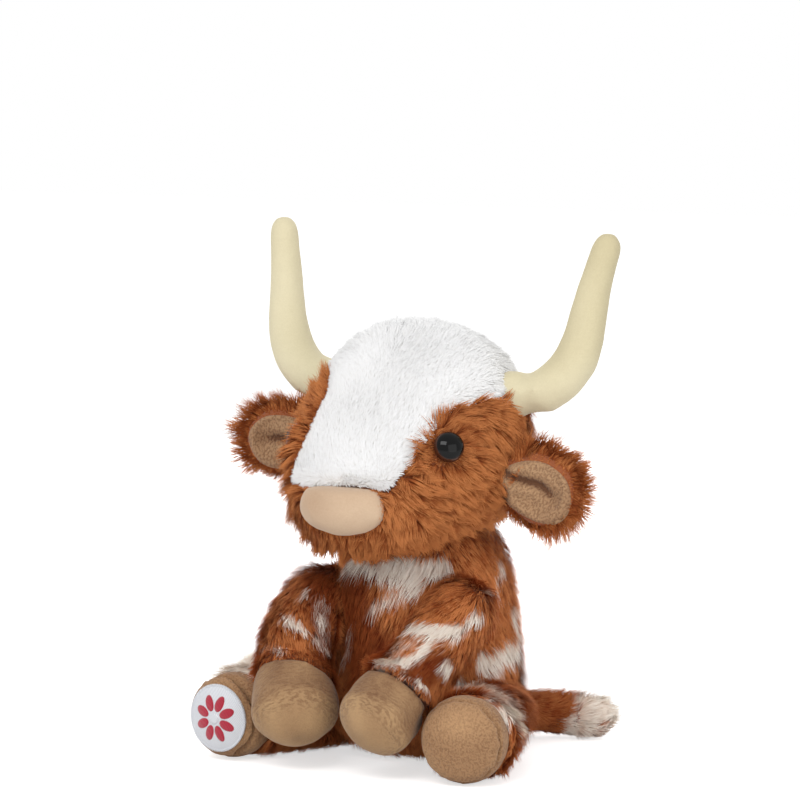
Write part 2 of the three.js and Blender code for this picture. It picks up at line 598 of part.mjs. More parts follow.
// Head pieces
const headShell = headForm().subtract(headForm(-FUR_CLOTH, 18, 3)).subtract(headRoom);
const headSkin = headShell.subtract(blazePrism(GAP));
const blaze = headShell.intersect(blazePrism());
const headStuffing = headForm(-FUR_CLOTH - GAP, 18, 3).subtract(headRoom);
const nose = keepBehind(noseForm(), point(0, 0, 1), point(0, 0, BLAZE_EDGE_HEIGHT - GAP));

// The cloth and plastic that each piece is made of
const finishes = {
  russetFur: { color: 0xa0582c, roughness: 0.95 },
  whiteFur: { color: 0xf0efec, roughness: 0.95 },
  tanPlush: { color: 0xa5835f, roughness: 0.9 },
  noseFleece: { color: 0xe3c2a3, roughness: 0.85 },
  hornPlush: { color: 0xe6dcb4, roughness: 0.85 },
  fibreFill: { color: 0xf4f4f2, roughness: 1 },
  beanPouch: { color: 0xd9d4c8, roughness: 0.8 },
  blackPlastic: { color: 0x0c0a09, roughness: 0.12 },
  washerPlastic: { color: 0xe9e9e4, roughness: 0.4 },
  whiteEmbroidery: { color: 0xe9e7e6, roughness: 0.7 },
};

const cow = new THREE.Group();
cow.name = "plush_cow";

function addPiece(name, made, finish) {
  const mesh = made.asOriginal().simplify(MESH_TOLERANCE).getMesh();
  const positions = new Float32Array(mesh.numVert * 3);
  for (let i = 0; i < mesh.numVert; i++)
    positions.set(mesh.vertProperties.subarray(i * mesh.numProp, i * mesh.numProp + 3), i * 3);
  const geometry = new THREE.BufferGeometry();
  geometry.setAttribute("position", new THREE.BufferAttribute(positions, 3));
  geometry.setIndex(new THREE.BufferAttribute(mesh.triVerts, 1));
  geometry.computeVertexNormals();
  const piece = new THREE.Mesh(geometry, new THREE.MeshStandardMaterial({ metalness: 0, ...finishes[finish] }));
  piece.name = name;
  cow.add(piece);
}

addPiece("torso_skin", torsoSkin, "russetFur");
addPiece("torso_stuffing", torsoStuffing, "fibreFill");
addPiece("seat_bean_pouch", pouchForm(0), "beanPouch");
addPiece("neck_stuffing", neckStuffing, "fibreFill");
addPiece("head_skin", headSkin, "russetFur");
addPiece("head_stuffing", headStuffing, "fibreFill");
addPiece("blaze_panel", blaze, "whiteFur");
addPiece("nose_pad", nose, "noseFleece");
addPiece("tail_sleeve", tail.sleeve, "russetFur");
addPiece("tail_tip", tail.tip, "whiteFur");
for (const [name, side] of Object.entries(sides)) {
  const arm = armParts(side);
  const leg = legParts(side);
  addPiece("eye_" + name, eyes[name].eye, "blackPlastic");
  addPiece("eye_washer_" + name, eyes[name].washer, "washerPlastic");
  addPiece("horn_" + name, horn(side), "hornPlush");
  addPiece("ear_" + name, ear(side), "russetFur");
  addPiece("ear_lining_" + name, earLining(side), "tanPlush");
  addPiece("arm_sleeve_" + name, arm.sleeve, "russetFur");
  addPiece("arm_hoof_" + name, arm.hoof, "tanPlush");
  addPiece("leg_sleeve_" + name, leg.sleeve, "russetFur");
  addPiece("leg_cuff_" + name, leg.cuff, "tanPlush");
  addPiece("leg_sole_" + name, leg.sole, "tanPlush");
  if (name === "right") addPiece("foot_patch", leg.patch, "whiteEmbroidery");
}

export default cow;
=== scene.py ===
# A sitting plush longhorn cow, 24 cm tall to its horn tips: fur cloth over fibre filling, short-plush hooves,
# stuffed horns and plastic eyes. It looks along -Y, +X is its left and +Z is up. Metres, with mm where a name says so.
import math

import bmesh
import bpy
import numpy as np
from mathutils import Matrix, Vector
from mathutils.bvhtree import BVHTree


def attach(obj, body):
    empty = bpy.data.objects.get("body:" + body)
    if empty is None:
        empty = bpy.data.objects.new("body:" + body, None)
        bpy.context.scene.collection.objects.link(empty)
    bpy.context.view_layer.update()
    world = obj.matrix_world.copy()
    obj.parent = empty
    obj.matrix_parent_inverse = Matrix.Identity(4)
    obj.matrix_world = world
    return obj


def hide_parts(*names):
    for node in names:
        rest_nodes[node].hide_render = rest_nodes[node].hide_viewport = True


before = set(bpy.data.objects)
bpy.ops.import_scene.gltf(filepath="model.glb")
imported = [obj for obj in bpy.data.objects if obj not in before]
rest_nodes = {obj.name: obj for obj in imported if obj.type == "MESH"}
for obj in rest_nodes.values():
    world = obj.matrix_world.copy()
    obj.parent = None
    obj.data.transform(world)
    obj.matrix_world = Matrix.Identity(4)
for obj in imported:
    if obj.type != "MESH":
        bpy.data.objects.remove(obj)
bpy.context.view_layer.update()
mm = 0.001


# --- Filling, seat pouch and eye washers ---------------------------------------------------------------------
# Loose siliconised polyester fibre fills every skin, a cotton pouch of beads weighs the seat, and a nylon washer
# locks each eye from inside. None of it shows. The pouch stays as packed. The filling is fitted to each skin and the
# washers to the eyes, so they are made with those.
def linear(code):
    """An sRGB hex colour as linear RGBA."""
    channels = (int(code[i : i + 2], 16) / 255 for i in (1, 3, 5))
    return (*(c / 12.92 if c <= 0.04045 else ((c + 0.055) / 1.055) ** 2.4 for c in channels), 1.0)


def add(tree, kind, inputs=(), **settings):
    """Adds a node: its kind without ShaderNode, and after a dot its operation. Its inputs go by name or in order, and
    each is a value, a socket, or a node, of which the first live output is linked."""
    kind, _, operation = kind.partition(".")
    made = tree.nodes.new(kind if "Node" in kind else "ShaderNode" + kind)
    if operation:
        settings["operation"] = operation
    for name, value in settings.items():
        setattr(made, name, value)
    for name, value in inputs.items() if isinstance(inputs, dict) else enumerate(inputs):
        if isinstance(name, int):
            socket = made.inputs[name]
        else:
            socket = next(s for s in made.inputs if s.enabled and s.name == name)
        if isinstance(value, bpy.types.Node):
            value = next(s for s in value.outputs if s.enabled)
        if isinstance(value, bpy.types.NodeSocket):
            tree.links.new(value, socket)
        else:
            socket.default_value = value
    return made


def material(name, **shader):
    """A Principled material with these sockets set. Returns it, its tree and its shader's inputs."""
    made = bpy.data.materials.new(name)
    made.use_nodes = True
    inputs = made.node_tree.nodes["Principled BSDF"].inputs
    for key, value in shader.items():
        inputs[key.replace("_", " ")].default_value = value
    return made, made.node_tree, inputs


def feed(tree, inputs, colour, normal):
    """Links a material's colour and normal to these sockets."""
    tree.links.new(colour, inputs["Base Color"])
    tree.links.new(normal, inputs["Normal"])


def mottled(name, dark, light, grain_mm, bump_mm, **shader):
    """A material whose colour and height vary at random over a grain, for what lies out of sight."""
    made, tree, inputs = material(name, **shader)
    place = add(tree, "TexCoord").outputs["Object"]
    grain = add(tree, "TexNoise", {"Vector": place, "Scale": 1 / (grain_mm * mm), "Detail": 4.0})
    colour = add(tree, "Mix", {"Factor": grain, "A": linear(dark), "B": linear(light)}, data_type="RGBA")
    bump = add(tree, "Bump", {"Height": grain, "Strength": 0.6, "Distance": bump_mm * mm})
    feed(tree, inputs, colour.outputs[2], bump.outputs[0])
    return made


# Carded polyester staple: matt, very white, in wisps of 3 mm.
fibre_fill = mottled("carded_polyester_fibre", "#E4E4E2", "#FAFAF8", 3, 1.5, Roughness=0.95, Sheen_Weight=0.3)
# Plain-woven unbleached cotton, 0.6 mm from thread to thread.
pouch_cotton = mottled("woven_cotton_pouch", "#C9C2B2", "#E2DCCC", 0.6, 0.2, Roughness=0.85)
# Moulded nylon, satin from the mould, with a faint flow pattern.
washer_nylon = mottled("moulded_nylon_washer", "#E2E2DC", "#F0F0EA", 4, 0.05, Roughness=0.4, IOR=1.53)
rest_nodes["seat_bean_pouch"].data.materials.clear()
rest_nodes["seat_bean_pouch"].data.materials.append(pouch_cotton)


# --- Torso ---------------------------------------------------------------------------------------------------
# A closed bag of russet long-pile fur cloth with tie-dyed white patches, round at the chest and swollen at the seat.
# The cloth's backing lies under the pile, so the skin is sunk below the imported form, and the pile grows from it.
def finished(piece, finish, body, slot_name, fill, *stands_for):
    """Gives a piece its material, and says what it moves with and which nodes it replaces. Its slot and its filling are
    not used.
    """
    piece.data.materials.append(finish)
    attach(piece, body)
    if stands_for:
        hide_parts(*stands_for)


def points_of(piece):
    """A piece's points, one in each row."""
    co = np.empty(len(piece.data.vertices) * 3)
    piece.data.vertices.foreach_get("co", co)
    return co.reshape(-1, 3)


def normals_of(piece):
    """The way out of the surface at each point."""
    out = np.empty(len(piece.data.vertices) * 3, np.float32)
    piece.data.vertex_normals.foreach_get("vector", out)
    return out.reshape(-1, 3).astype(float)


def move(piece, places):
    piece.data.vertices.foreach_set("co", np.asarray(places, np.float32).ravel())
    piece.data.update()
    return piece


def unit(vectors):
    return vectors / np.maximum(np.linalg.norm(vectors, axis=-1, keepdims=True), 1e-9)


def rise(values, low, high):
    """0 below low, 1 above high, and smooth between them."""
    share = np.clip((values - low) / (high - low), 0, 1)
    return share * share * (3 - 2 * share)


def evened(piece, values, rounds, share=0.5, free=None):
    """Values at a mesh's points, drawn towards the mean of their neighbours. `free` says how far each may follow."""
    ends = np.empty(len(piece.data.edges) * 2, np.int32)
    piece.data.edges.foreach_get("vertices", ends)
    ends = np.concatenate([ends.reshape(-1, 2), ends.reshape(-1, 2)[:, ::-1]])
    flat = np.array(values, float).reshape(len(piece.data.vertices), -1)
    count = np.maximum(np.bincount(ends[:, 0], minlength=len(flat)), 1)[:, None]
    follow = share if free is None else share * np.asarray(free, float)[:, None]
    for _ in range(rounds):
        near = [np.bincount(ends[:, 0], weights=column[ends[:, 1]], minlength=len(flat)) for column in flat.T]
        flat = flat + follow * (np.stack(near, 1) / count - flat)
    return flat.reshape(np.shape(values))


def new_piece(name, mesh):
    piece = bpy.data.objects.new(name, mesh)
    mesh.name = name
    bpy.context.scene.collection.objects.link(piece)
    return piece


def search_tree(*names):
    """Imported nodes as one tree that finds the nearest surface."""
    places, faces = [], []
    for name in names:
        mesh = rest_nodes[name].data
        first = len(places)
        places += [v.co.copy() for v in mesh.vertices]
        faces += [[first + i for i in p.vertices] for p in mesh.polygons]
    return BVHTree.FromPolygons(places, faces)


def tree_of(piece):
    faces = [list(face.vertices) for face in piece.data.polygons]
    return BVHTree.FromPolygons([v.co.copy() for v in piece.data.vertices], faces)


def clearance(places, tree):
    """How far each point lies outside a closed surface, less than 0 inside it."""
    out = np.empty(len(places))
    for i, place in enumerate(places):
        near, _, _, away = tree.find_nearest(place)
        faces = tree.find_nearest_range(place, away + 0.01 * mm)  # two or more at an edge or corner
        normal = sum((face[1] for face in faces), Vector())
        out[i] = away if (Vector(place) - near).dot(normal) >= 0 else -away
    return out


def wrapped(name, nodes, centre, bridged, level):
    """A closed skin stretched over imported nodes. It bridges the places that `bridged` picks out, such as sockets."""
    mesh = bpy.data.meshes.new(name)
    sphere = bmesh.new()
    bmesh.ops.create_icosphere(sphere, subdivisions=level, radius=1.0)
    sphere.to_mesh(mesh)
    sphere.free()
    piece = new_piece(name, mesh)
    tree = search_tree(*nodes)
    ways = unit(points_of(piece))
    far = 0.3  # the rays start outside the toy
    reach = np.full(len(ways), np.nan)
    for i, way in enumerate(ways):
        start = Vector(centre + way * far)
        away = tree.ray_cast(start, Vector(-way))[3]
        if away is not None:
            reach[i] = far - away
    places = centre + ways * np.nan_to_num(reach, nan=0.04)[:, None]
    loose = np.isnan(reach) | bridged(places)
    reach[loose] = np.nanmedian(reach)
    # A coarse start for the bridged places: the nearest held point's reach, and then an even spread between them.
    held = np.flatnonzero(~loose)
    for i in np.flatnonzero(loose):
        reach[i] = reach[held[np.argmax(ways[held] @ ways[i])]]
    reach = evened(piece, reach, 400, 1.0, loose)
    move(piece, centre + ways * reach[:, None])
    mesh.shade_smooth()
    return piece


def in_balls(places, balls):
    """Which points lie in any of these balls, given as centre and radius in mm."""
    inside = np.zeros(len(places), bool)
    for centre, radius in balls:
        inside |= np.linalg.norm(places - np.array(centre) * mm, axis=1) < radius * mm
    return inside


def swell(places, middle, radius):
    """A round swelling, 1 at its middle and fading over this radius, both in mm."""
    return np.exp(-((np.linalg.norm(places - np.array(middle) * mm, axis=1) / (radius * mm)) ** 2))


def wander(places, size, seed):
    """A smooth random value, about -1 to 1, that changes over this distance."""
    rng = np.random.default_rng(seed)
    waves = unit(rng.normal(size=(9, 3))) * rng.uniform(0.7, 1.5, (9, 1)) * math.pi / size
    return np.sin(places @ waves.T + rng.uniform(0, 2 * math.pi, 9)).sum(1) / 3


def dye_and_painted_light_patches(places, comb, patches, seed, edge=2.2 * mm):
    """How far each point lies in a patch, from 0 to 1. Most patches are of dye or bare white; the deep ones are painted
    shade, and some pale ones on the left thigh painted light. A patch is a line between two points, the half width
    round it in mm, and its level if not 1. It is drawn where the tips lie, off the roots along the comb."""
    places = places + 4 * mm * comb
    white = np.zeros(len(places))
    ragged = 1.1 * mm * wander(places, 9 * mm, seed) + 0.7 * mm * wander(places, 3 * mm, seed + 1)
    for start, end, radius, *level in patches:
        a, b = np.array(start) * mm, np.array(end) * mm
        share = np.clip(((places - a) @ (b - a)) / max((b - a) @ (b - a), 1e-12), 0, 1)
        away = np.linalg.norm(places - a - share[:, None] * (b - a), axis=1)
        white = np.maximum(white, (level or [1])[0] * rise(radius * mm + ragged - away, -edge, edge))
    return white


def combed(normals, flow, places, seed, swirl=0.35, size=22 * mm):
    """The way the pile is brushed: along the cloth, near the flow given, and swirled a little."""
    flow = unit(flow - (flow * normals).sum(1, keepdims=True) * normals)
    turn = (swirl * wander(places, size, seed))[:, None]
    return flow * np.cos(turn) + np.cross(normals, flow) * np.sin(turn)


def relaid(piece):
    """Turns the comb of a cloth that was moved back into its surface."""
    layer = piece.data.attributes["comb"].data
    comb = np.empty(len(layer) * 3, np.float32)
    layer.foreach_get("vector", comb)
    comb, out = comb.reshape(-1, 3), normals_of(piece)
    comb = unit(comb - out * np.sum(comb * out, axis=1, keepdims=True))
    layer.foreach_set("vector", comb.astype(np.float32).ravel())


def paint(piece, **fields):
    """Keeps a value or a vector at each point, for the pile and the materials to read."""
    for name, values in fields.items():
        kind, key = ("FLOAT_VECTOR", "vector") if values.ndim == 2 else ("FLOAT", "value")
        layer = piece.data.attributes.new(name, kind, "POINT")
        layer.data.foreach_set(key, values.astype(np.float32).ravel())


def patch_faces(piece, picks):
    """Numbers each face's patch of pile, as `picks` gives it for its centre."""
    centres = np.empty(len(piece.data.polygons) * 3)
    piece.data.polygons.foreach_get("center", centres)
    layer = piece.data.attributes.new("patch", "INT", "FACE")
    layer.data.foreach_set("value", picks(centres.reshape(-1, 3)).astype(np.int32))


def node_tree(name, **inputs):
    """A geometry tree with these inputs and their kinds. Returns it and its input sockets."""
    made = bpy.data.node_groups.new(name, "GeometryNodeTree")
    made.interface.new_socket("Mesh", in_out="OUTPUT", socket_type="NodeSocketGeometry")
    for key, kind in inputs.items():
        made.interface.new_socket(key.replace("_", " "), in_out="INPUT", socket_type="NodeSocket" + kind)
    return made, add(made, "NodeGroupInput").outputs


def settled(piece):
    """A piece's mesh as its modifiers make it."""
    return bpy.data.meshes.new_from_object(piece.evaluated_get(bpy.context.evaluated_depsgraph_get()))


def made_on(line_or_cloth, tree_name, sizes):
    """The mesh that a geometry tree makes on this one."""
    bed = new_piece("bed", line_or_cloth)
    maker = bed.modifiers.new(tree_name, "NODES")
    maker.node_group = bpy.data.node_groups[tree_name]
    for socket in maker.node_group.interface.items_tree:
        key = socket.name.replace(" ", "_")
        if socket.in_out == "INPUT" and key in sizes:
            maker[socket.identifier] = sizes[key]
    mesh = settled(bed)
    bpy.data.objects.remove(bed)
    return mesh


# The pile: strands scattered over the cloth, each a tapered ribbon that rises, bends along the comb and leans to
# its tuft. OFBake is a map with one cell for each strand.
tree, asked = node_tree(
    "fur_pile", Cloth="Geometry", Patch="Int", Strands_per_mm2="Float", Length_mm="Float", Width_mm="Float",
    Segments="Int", Lay="Float", Wave="Float", Wave_size_mm="Float", Stray="Float", Tuft="Float", Tuft_size_mm="Float",
    Seed="Int", Finish="Material",
)
pile_share, comb_way, patch_at, along, chance, strand, across = (
    add(tree, "GeometryNodeInputNamedAttribute", {"Name": name}, data_type=kind)
    for name, kind in (
        ("pile", "FLOAT"), ("comb", "FLOAT_VECTOR"), ("patch", "INT"), ("along", "FLOAT"), ("chance", "FLOAT"),
        ("strand", "INT"), ("across", "FLOAT"),
    )
)
here = add(tree, "FunctionNodeCompare.EQUAL", {"A": patch_at, "B": asked["Patch"]}, data_type="INT")
cover = add(tree, "Math.MULTIPLY", (pile_share, 2.5), use_clamp=True)
per_m2 = add(tree, "Math.MULTIPLY", (asked["Strands per mm2"], 1e6))
thick = add(tree, "Math.MULTIPLY", (per_m2, cover))
roots = add(
    tree, "GeometryNodeDistributePointsOnFaces",
    {"Mesh": asked["Cloth"], "Selection": here, "Density": thick, "Seed": asked["Seed"]},
)
outward = roots.outputs["Normal"]
index = add(tree, "GeometryNodeInputIndex")
points = roots.outputs["Points"]
numbered = add(
    tree, "GeometryNodeStoreNamedAttribute", {"Geometry": points, "Name": "strand", "Value": index}, data_type="INT"
)
draw = add(tree, "FunctionNodeRandomValue", {"Min": 0.0, "Max": 1.0, "ID": index, "Seed": asked["Seed"]})
drawn = add(tree, "GeometryNodeStoreNamedAttribute", {"Geometry": numbered, "Name": "chance", "Value": draw})
joints = add(tree, "Math.ADD", (asked["Segments"], 1.0))
steered = add(
    tree,
    "GeometryNodeStoreNamedAttribute", {"Geometry": drawn, "Name": "out", "Value": outward}, data_type="FLOAT_VECTOR"
)
beads = add(tree, "GeometryNodeDuplicateElements", {"Geometry": steered, "Amount": joints})
share = add(tree, "Math.DIVIDE", (beads.outputs[1], asked["Segments"]))
strung = add(tree, "GeometryNodeStoreNamedAttribute", {"Geometry": beads, "Name": "along", "Value": share})
place = add(tree, "GeometryNodeInputPosition")
wave_size = add(tree, "Math.MULTIPLY", (asked["Wave size mm"], mm))
wave_scale = add(tree, "Math.DIVIDE", (1.0, wave_size))
tuft_size = add(tree, "Math.MULTIPLY", (asked["Tuft size mm"], mm))
tuft_scale = add(tree, "Math.DIVIDE", (1.0, tuft_size))
wave = add(tree, "TexNoise", {"Vector": place, "Scale": wave_scale, "Detail": 2.0, "Roughness": 0.6})
wave = add(tree, "VectorMath.SUBTRACT", (wave.outputs["Color"], (0.5, 0.5, 0.5)))
wave = add(tree, "VectorMath.SCALE", {0: wave, "Scale": asked["Wave"]})
tuft = add(tree, "TexVoronoi", {"Vector": place, "Scale": tuft_scale})
tuft_own = add(tree, "VectorMath.SUBTRACT", (tuft.outputs["Color"], (0.5, 0.5, 0.5)))
unruly = add(tree, "Math.MULTIPLY", (asked["Tuft"], 0.9))
tuft_own = add(tree, "VectorMath.SCALE", {0: tuft_own, "Scale": unruly})
stray = add(
    tree, "FunctionNodeRandomValue",
    {"Min": (-1.0, -1.0, -1.0), "Max": (1.0, 1.0, 1.0), "ID": strand, "Seed": asked["Seed"]},
    data_type="FLOAT_VECTOR",
)
stray = add(tree, "VectorMath.SCALE", {0: stray, "Scale": asked["Stray"]})
# The way that the tip lies
up_share = add(tree, "Math.SUBTRACT", (1.0, asked["Lay"]))
lie = add(tree, "VectorMath.SCALE", {0: comb_way, "Scale": asked["Lay"]})
lift = add(tree, "VectorMath.SCALE", {0: outward, "Scale": up_share})
lie = add(tree, "VectorMath.ADD", (lie, lift))
for part in (wave, tuft_own, stray):
    lie = add(tree, "VectorMath.ADD", (lie, part))
lie = add(tree, "VectorMath.NORMALIZE", (lie,))
# The way that the root stands
stand = add(tree, "VectorMath.SCALE", {0: comb_way, "Scale": asked["Lay"]})
stand = add(tree, "VectorMath.ADD", (stand, outward))
stand = add(tree, "VectorMath.ADD", (stand, stray))
stand = add(tree, "VectorMath.NORMALIZE", (stand,))
# Length, and the two shares that bend the strand from standing to lying
squared = add(tree, "Math.MULTIPLY", (along, along))
half = add(tree, "Math.MULTIPLY", (squared, 0.5))
rising = add(tree, "Math.SUBTRACT", (along, half))
lying = add(tree, "Math.MULTIPLY", (squared, 0.62))
uneven = add(tree, "Math.MULTIPLY_ADD", (chance, 0.55, 0.7))
length = add(tree, "Math.MULTIPLY", (asked["Length mm"], mm))
length = add(tree, "Math.MULTIPLY", (length, pile_share))
length = add(tree, "Math.MULTIPLY", (length, uneven))
locks = add(tree, "TexNoise", {"Vector": place, "Scale": tuft_scale, "Detail": 1.0})
locks = add(tree, "Math.MULTIPLY_ADD", (locks, 0.9, 0.55))
length = add(tree, "Math.MULTIPLY", (length, locks))
rising = add(tree, "Math.MULTIPLY", (rising, length))
lying = add(tree, "Math.MULTIPLY", (lying, length))
stand = add(tree, "VectorMath.SCALE", {0: stand, "Scale": rising})
lie = add(tree, "VectorMath.SCALE", {0: lie, "Scale": lying})
# The lean to the middle of the tuft, along the cloth
lean = add(tree, "VectorMath.SUBTRACT", (tuft.outputs["Position"], place))
off = add(tree, "VectorMath.DOT_PRODUCT", (lean, outward))
off = add(tree, "VectorMath.SCALE", {0: outward, "Scale": off.outputs["Value"]})
lean = add(tree, "VectorMath.SUBTRACT", (lean, off))
gather = add(tree, "Math.MULTIPLY", (squared, asked["Tuft"]))
lean = add(tree, "VectorMath.SCALE", {0: lean, "Scale": gather})
shift = add(tree, "VectorMath.ADD", (stand, lie))
shift = add(tree, "VectorMath.ADD", (shift, lean))
bent = add(tree, "GeometryNodeSetPosition", {"Geometry": strung, "Offset": shift})
# What would go through the floor lies along it
split = add(tree, "SeparateXYZ", (add(tree, "GeometryNodeInputPosition"),))
resting = add(tree, "Math.MULTIPLY_ADD", (chance, 0.8 * mm, 0.2 * mm))
above = add(tree, "Math.MAXIMUM", (split.outputs["Z"], resting))
laid_flat = add(tree, "CombineXYZ", (split.outputs["X"], split.outputs["Y"], above))
bent = add(tree, "GeometryNodeSetPosition", {"Geometry": bent, "Position": laid_flat})
threads = add(tree, "GeometryNodePointsToCurves", {"Points": bent, "Curve Group ID": strand, "Weight": along})
facing = add(tree, "VectorMath.ADD", (outward, stray))
faced = add(tree, "GeometryNodeSetCurveNormal", {"Curve": threads, "Normal": facing}, mode="FREE")
width = add(tree, "Math.MULTIPLY", (asked["Width mm"], mm))
taper = add(tree, "Math.MULTIPLY_ADD", (squared, -0.85, 1.0))
taper = add(tree, "Math.MULTIPLY", (taper, width))
flat = add(tree, "GeometryNodeCurvePrimitiveLine", {"Start": (0, -0.5, 0), "End": (0, 0.5, 0)})
flat = add(tree, "GeometryNodeStoreNamedAttribute", {"Geometry": flat, "Name": "across", "Value": index})
ribbons = add(tree, "GeometryNodeCurveToMesh", {"Curve": faced, "Profile Curve": flat, "Scale": taper})
# One cell of the map for each strand
count = add(tree, "GeometryNodeAttributeDomainSize", {"Geometry": points}, component="POINTCLOUD")
cells = add(tree, "Math.SQRT", (count,))
cells = add(tree, "Math.CEIL", (cells,))
row = add(tree, "Math.DIVIDE", (strand, cells))
row = add(tree, "Math.FLOOR", (row,))
column = add(tree, "Math.MODULO", (strand, cells))
corner = []
for cell, within in ((column, across), (row, along)):
    part = add(tree, "Math.MULTIPLY_ADD", (within, 0.76, 0.12))
    part = add(tree, "Math.ADD", (part, cell))
    corner.append(add(tree, "Math.DIVIDE", (part, cells)))
corner = add(tree, "CombineXYZ", (corner[0], corner[1]))
mapped = add(
    tree, "GeometryNodeStoreNamedAttribute",
    {"Geometry": ribbons, "Name": "OFBake", "Value": corner},
    data_type="FLOAT2",
    domain="CORNER",
)
smooth = add(tree, "GeometryNodeSetShadeSmooth", {"Geometry": mapped, "Shade Smooth": True})
solid_pile = add(tree, "GeometryNodeRealizeInstances", {"Geometry": smooth})
finished_pile = add(tree, "GeometryNodeSetMaterial", {"Geometry": solid_pile, "Material": asked["Finish"]})
add(tree, "NodeGroupOutput", {"Mesh": finished_pile})


def grown(name, cloth, body, slot_name, **sizes):
    """Grows the pile of one patch of a cloth, as a mesh of its own that rides with the cloth's body."""
    mesh = made_on(cloth.data.copy(), "fur_pile", sizes)
    for layer in ("pile", "comb", "strand", "across"):
        if layer in mesh.attributes:
            mesh.attributes.remove(mesh.attributes[layer])
    piece = new_piece(name, mesh)
    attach(piece, body)
    return piece


def fur_finish(name, root, middle, tip, white_root, white_tip, patchy, dyed=0.0, **shader):
    """Acrylic pile: lighter to the tips and darker at the roots, partly its dye and partly painted shade between the
    strands. It is lit as a soft mass more than as separate fibres, because light passes through them, so the shading
    leans to the way that the cloth faces."""
    made, tree, inputs = material(name, Roughness=0.75, Specular_IOR_Level=0.12, **shader)
    along, chance, white, deep = (
        add(tree, "Attribute", attribute_name=name).outputs["Fac"] for name in ("along", "chance", "white", "deep")
    )
    place = add(tree, "TexCoord").outputs["Object"]
    cloud = add(tree, "TexNoise", {"Vector": place, "Scale": 1 / (6 * mm), "Detail": 3.0, "Roughness": 0.6})
    vary = add(
        tree, "MapRange",
        {"Value": cloud, "From Min": 0.32, "From Max": 0.68, "To Min": -patchy / 2, "To Max": patchy / 2},
    )
    vary = add(tree, "Math.MULTIPLY_ADD", (chance, 0.25, vary))
    reach = add(tree, "Math.ADD", (along, vary))
    # Painted shade: the ramp darkens towards the roots, partly the dye and partly the shade between the strands.
    brown = add(tree, "ValToRGB", {"Fac": reach})
    ramp = brown.color_ramp
    ramp.elements[0].position, ramp.elements[0].color = 0.0, linear(root)
    ramp.elements[1].position, ramp.elements[1].color = 1.0, linear(tip)
    ramp.elements.new(0.5).color = linear(middle)
    # Darker in places: over 25 mm at random, where the dye took deeper, and where `deep` was painted, which is painted
    # shade on the torso and arms and a deeper dye on the tail
    dye = add(tree, "TexNoise", {"Vector": place, "Scale": 1 / (25 * mm), "Detail": 1.0})
    dye = add(tree, "MapRange", {"Value": dye, "From Min": 0.42, "From Max": 0.68, "To Max": dyed})
    deep = add(tree, "Math.MAXIMUM", (deep, dye))
    brown = add(
        tree, "Mix", {"Factor": deep, "A": brown, "B": linear("#B39282")}, data_type="RGBA", blend_type="MULTIPLY"
    )
    # The pale strands' warm, darker roots are painted bounce light from the russet and painted shade between the
    # strands.
    pale = add(tree, "Mix", {"Factor": reach, "A": linear(white_root), "B": linear(white_tip)}, data_type="RGBA")
    # A strand is dyed or bare: near a patch's edge both kinds stand side by side.
    bare = add(tree, "Math.MULTIPLY_ADD", (chance, 0.5, -0.25))
    bare = add(tree, "Math.ADD", (white, bare))
    bare = add(tree, "MapRange", {"Value": bare, "From Min": 0.25, "From Max": 0.75}, interpolation_type="SMOOTHSTEP")
    colour = add(tree, "Mix", {"Factor": bare, "A": brown.outputs[2], "B": pale.outputs[2]}, data_type="RGBA")
    out = add(tree, "Attribute", attribute_name="out").outputs["Vector"]
    out = add(
        tree, "VectorTransform", {"Vector": out}, vector_type="NORMAL", convert_from="OBJECT", convert_to="WORLD"
    )
    own = add(tree, "NewGeometry").outputs["Normal"]
    agree = add(tree, "VectorMath.DOT_PRODUCT", (own, out)).outputs["Value"]
    agree = add(tree, "MapRange", {"Value": agree, "From Max": 0.6, "To Max": 0.5})
    facing = add(tree, "Mix", {"Factor": agree, "A": own, "B": out}, data_type="VECTOR")
    facing = add(tree, "VectorMath.NORMALIZE", (facing.outputs[1],))
    feed(tree, inputs, colour.outputs[2], facing.outputs[0])
    return made


def cloth_finish(name, brown, pale):
    """The knitted backing and the feet of its pile, seen only between strands: matt, with a 1 mm nap."""
    made, tree, inputs = material(name, Roughness=0.9, Sheen_Weight=0.2)
    white = add(tree, "Attribute", attribute_name="white").outputs["Fac"]
    place = add(tree, "TexCoord").outputs["Object"]
    nap = add(tree, "TexNoise", {"Vector": place, "Scale": 1 / (1.0 * mm), "Detail": 3.0})
    shade = add(tree, "Math.MULTIPLY_ADD", (nap, 0.5, 0.75))
    dyed = add(tree, "Mix", {"Factor": white, "A": linear(brown), "B": linear(pale)}, data_type="RGBA")
    colour = add(tree, "VectorMath.SCALE", {0: dyed.outputs[2], "Scale": shade})
    bump = add(tree, "Bump", {"Height": nap, "Strength": 0.7, "Distance": 0.8 * mm})
    feed(tree, inputs, colour.outputs[0], bump.outputs[0])
    return made


# Long-pile acrylic knit, dyed russet: redder on the body, where it is also dyed in patches, than on the head.
# Its darker roots are partly the dye and partly painted shade, its warm white roots are painted bounce light, and its
# deep patches on the torso and arms are painted shade.
body_fur = fur_finish("acrylic_pile_tie_dyed_russet", "#80361A", "#A85327", "#D98A52", "#E8CFBC", "#FFF7EC", 0.6, 0.3)
body_cloth = cloth_finish("knitted_backing_russet", "#96522D", "#E4D8CE")
BODY_PILE = dict(
    Strands_per_mm2=3.9, Length_mm=8.5, Width_mm=0.36, Segments=3, Lay=0.86, Wave=0.5, Wave_size_mm=8.0,
    Stray=0.11, Tuft=0.3, Tuft_size_mm=3.4, Finish=body_fur,
)
PILE_DEPTH = 4.2 * mm  # how far the backing lies under the form
FILLING_DEPTH = 6.8 * mm  # and the filling, which lies inside the backing
SHOULDER, HIP, TAIL_ROOT = (37, -29, 71), (37, -8, 21), (8, 43, 14.5)
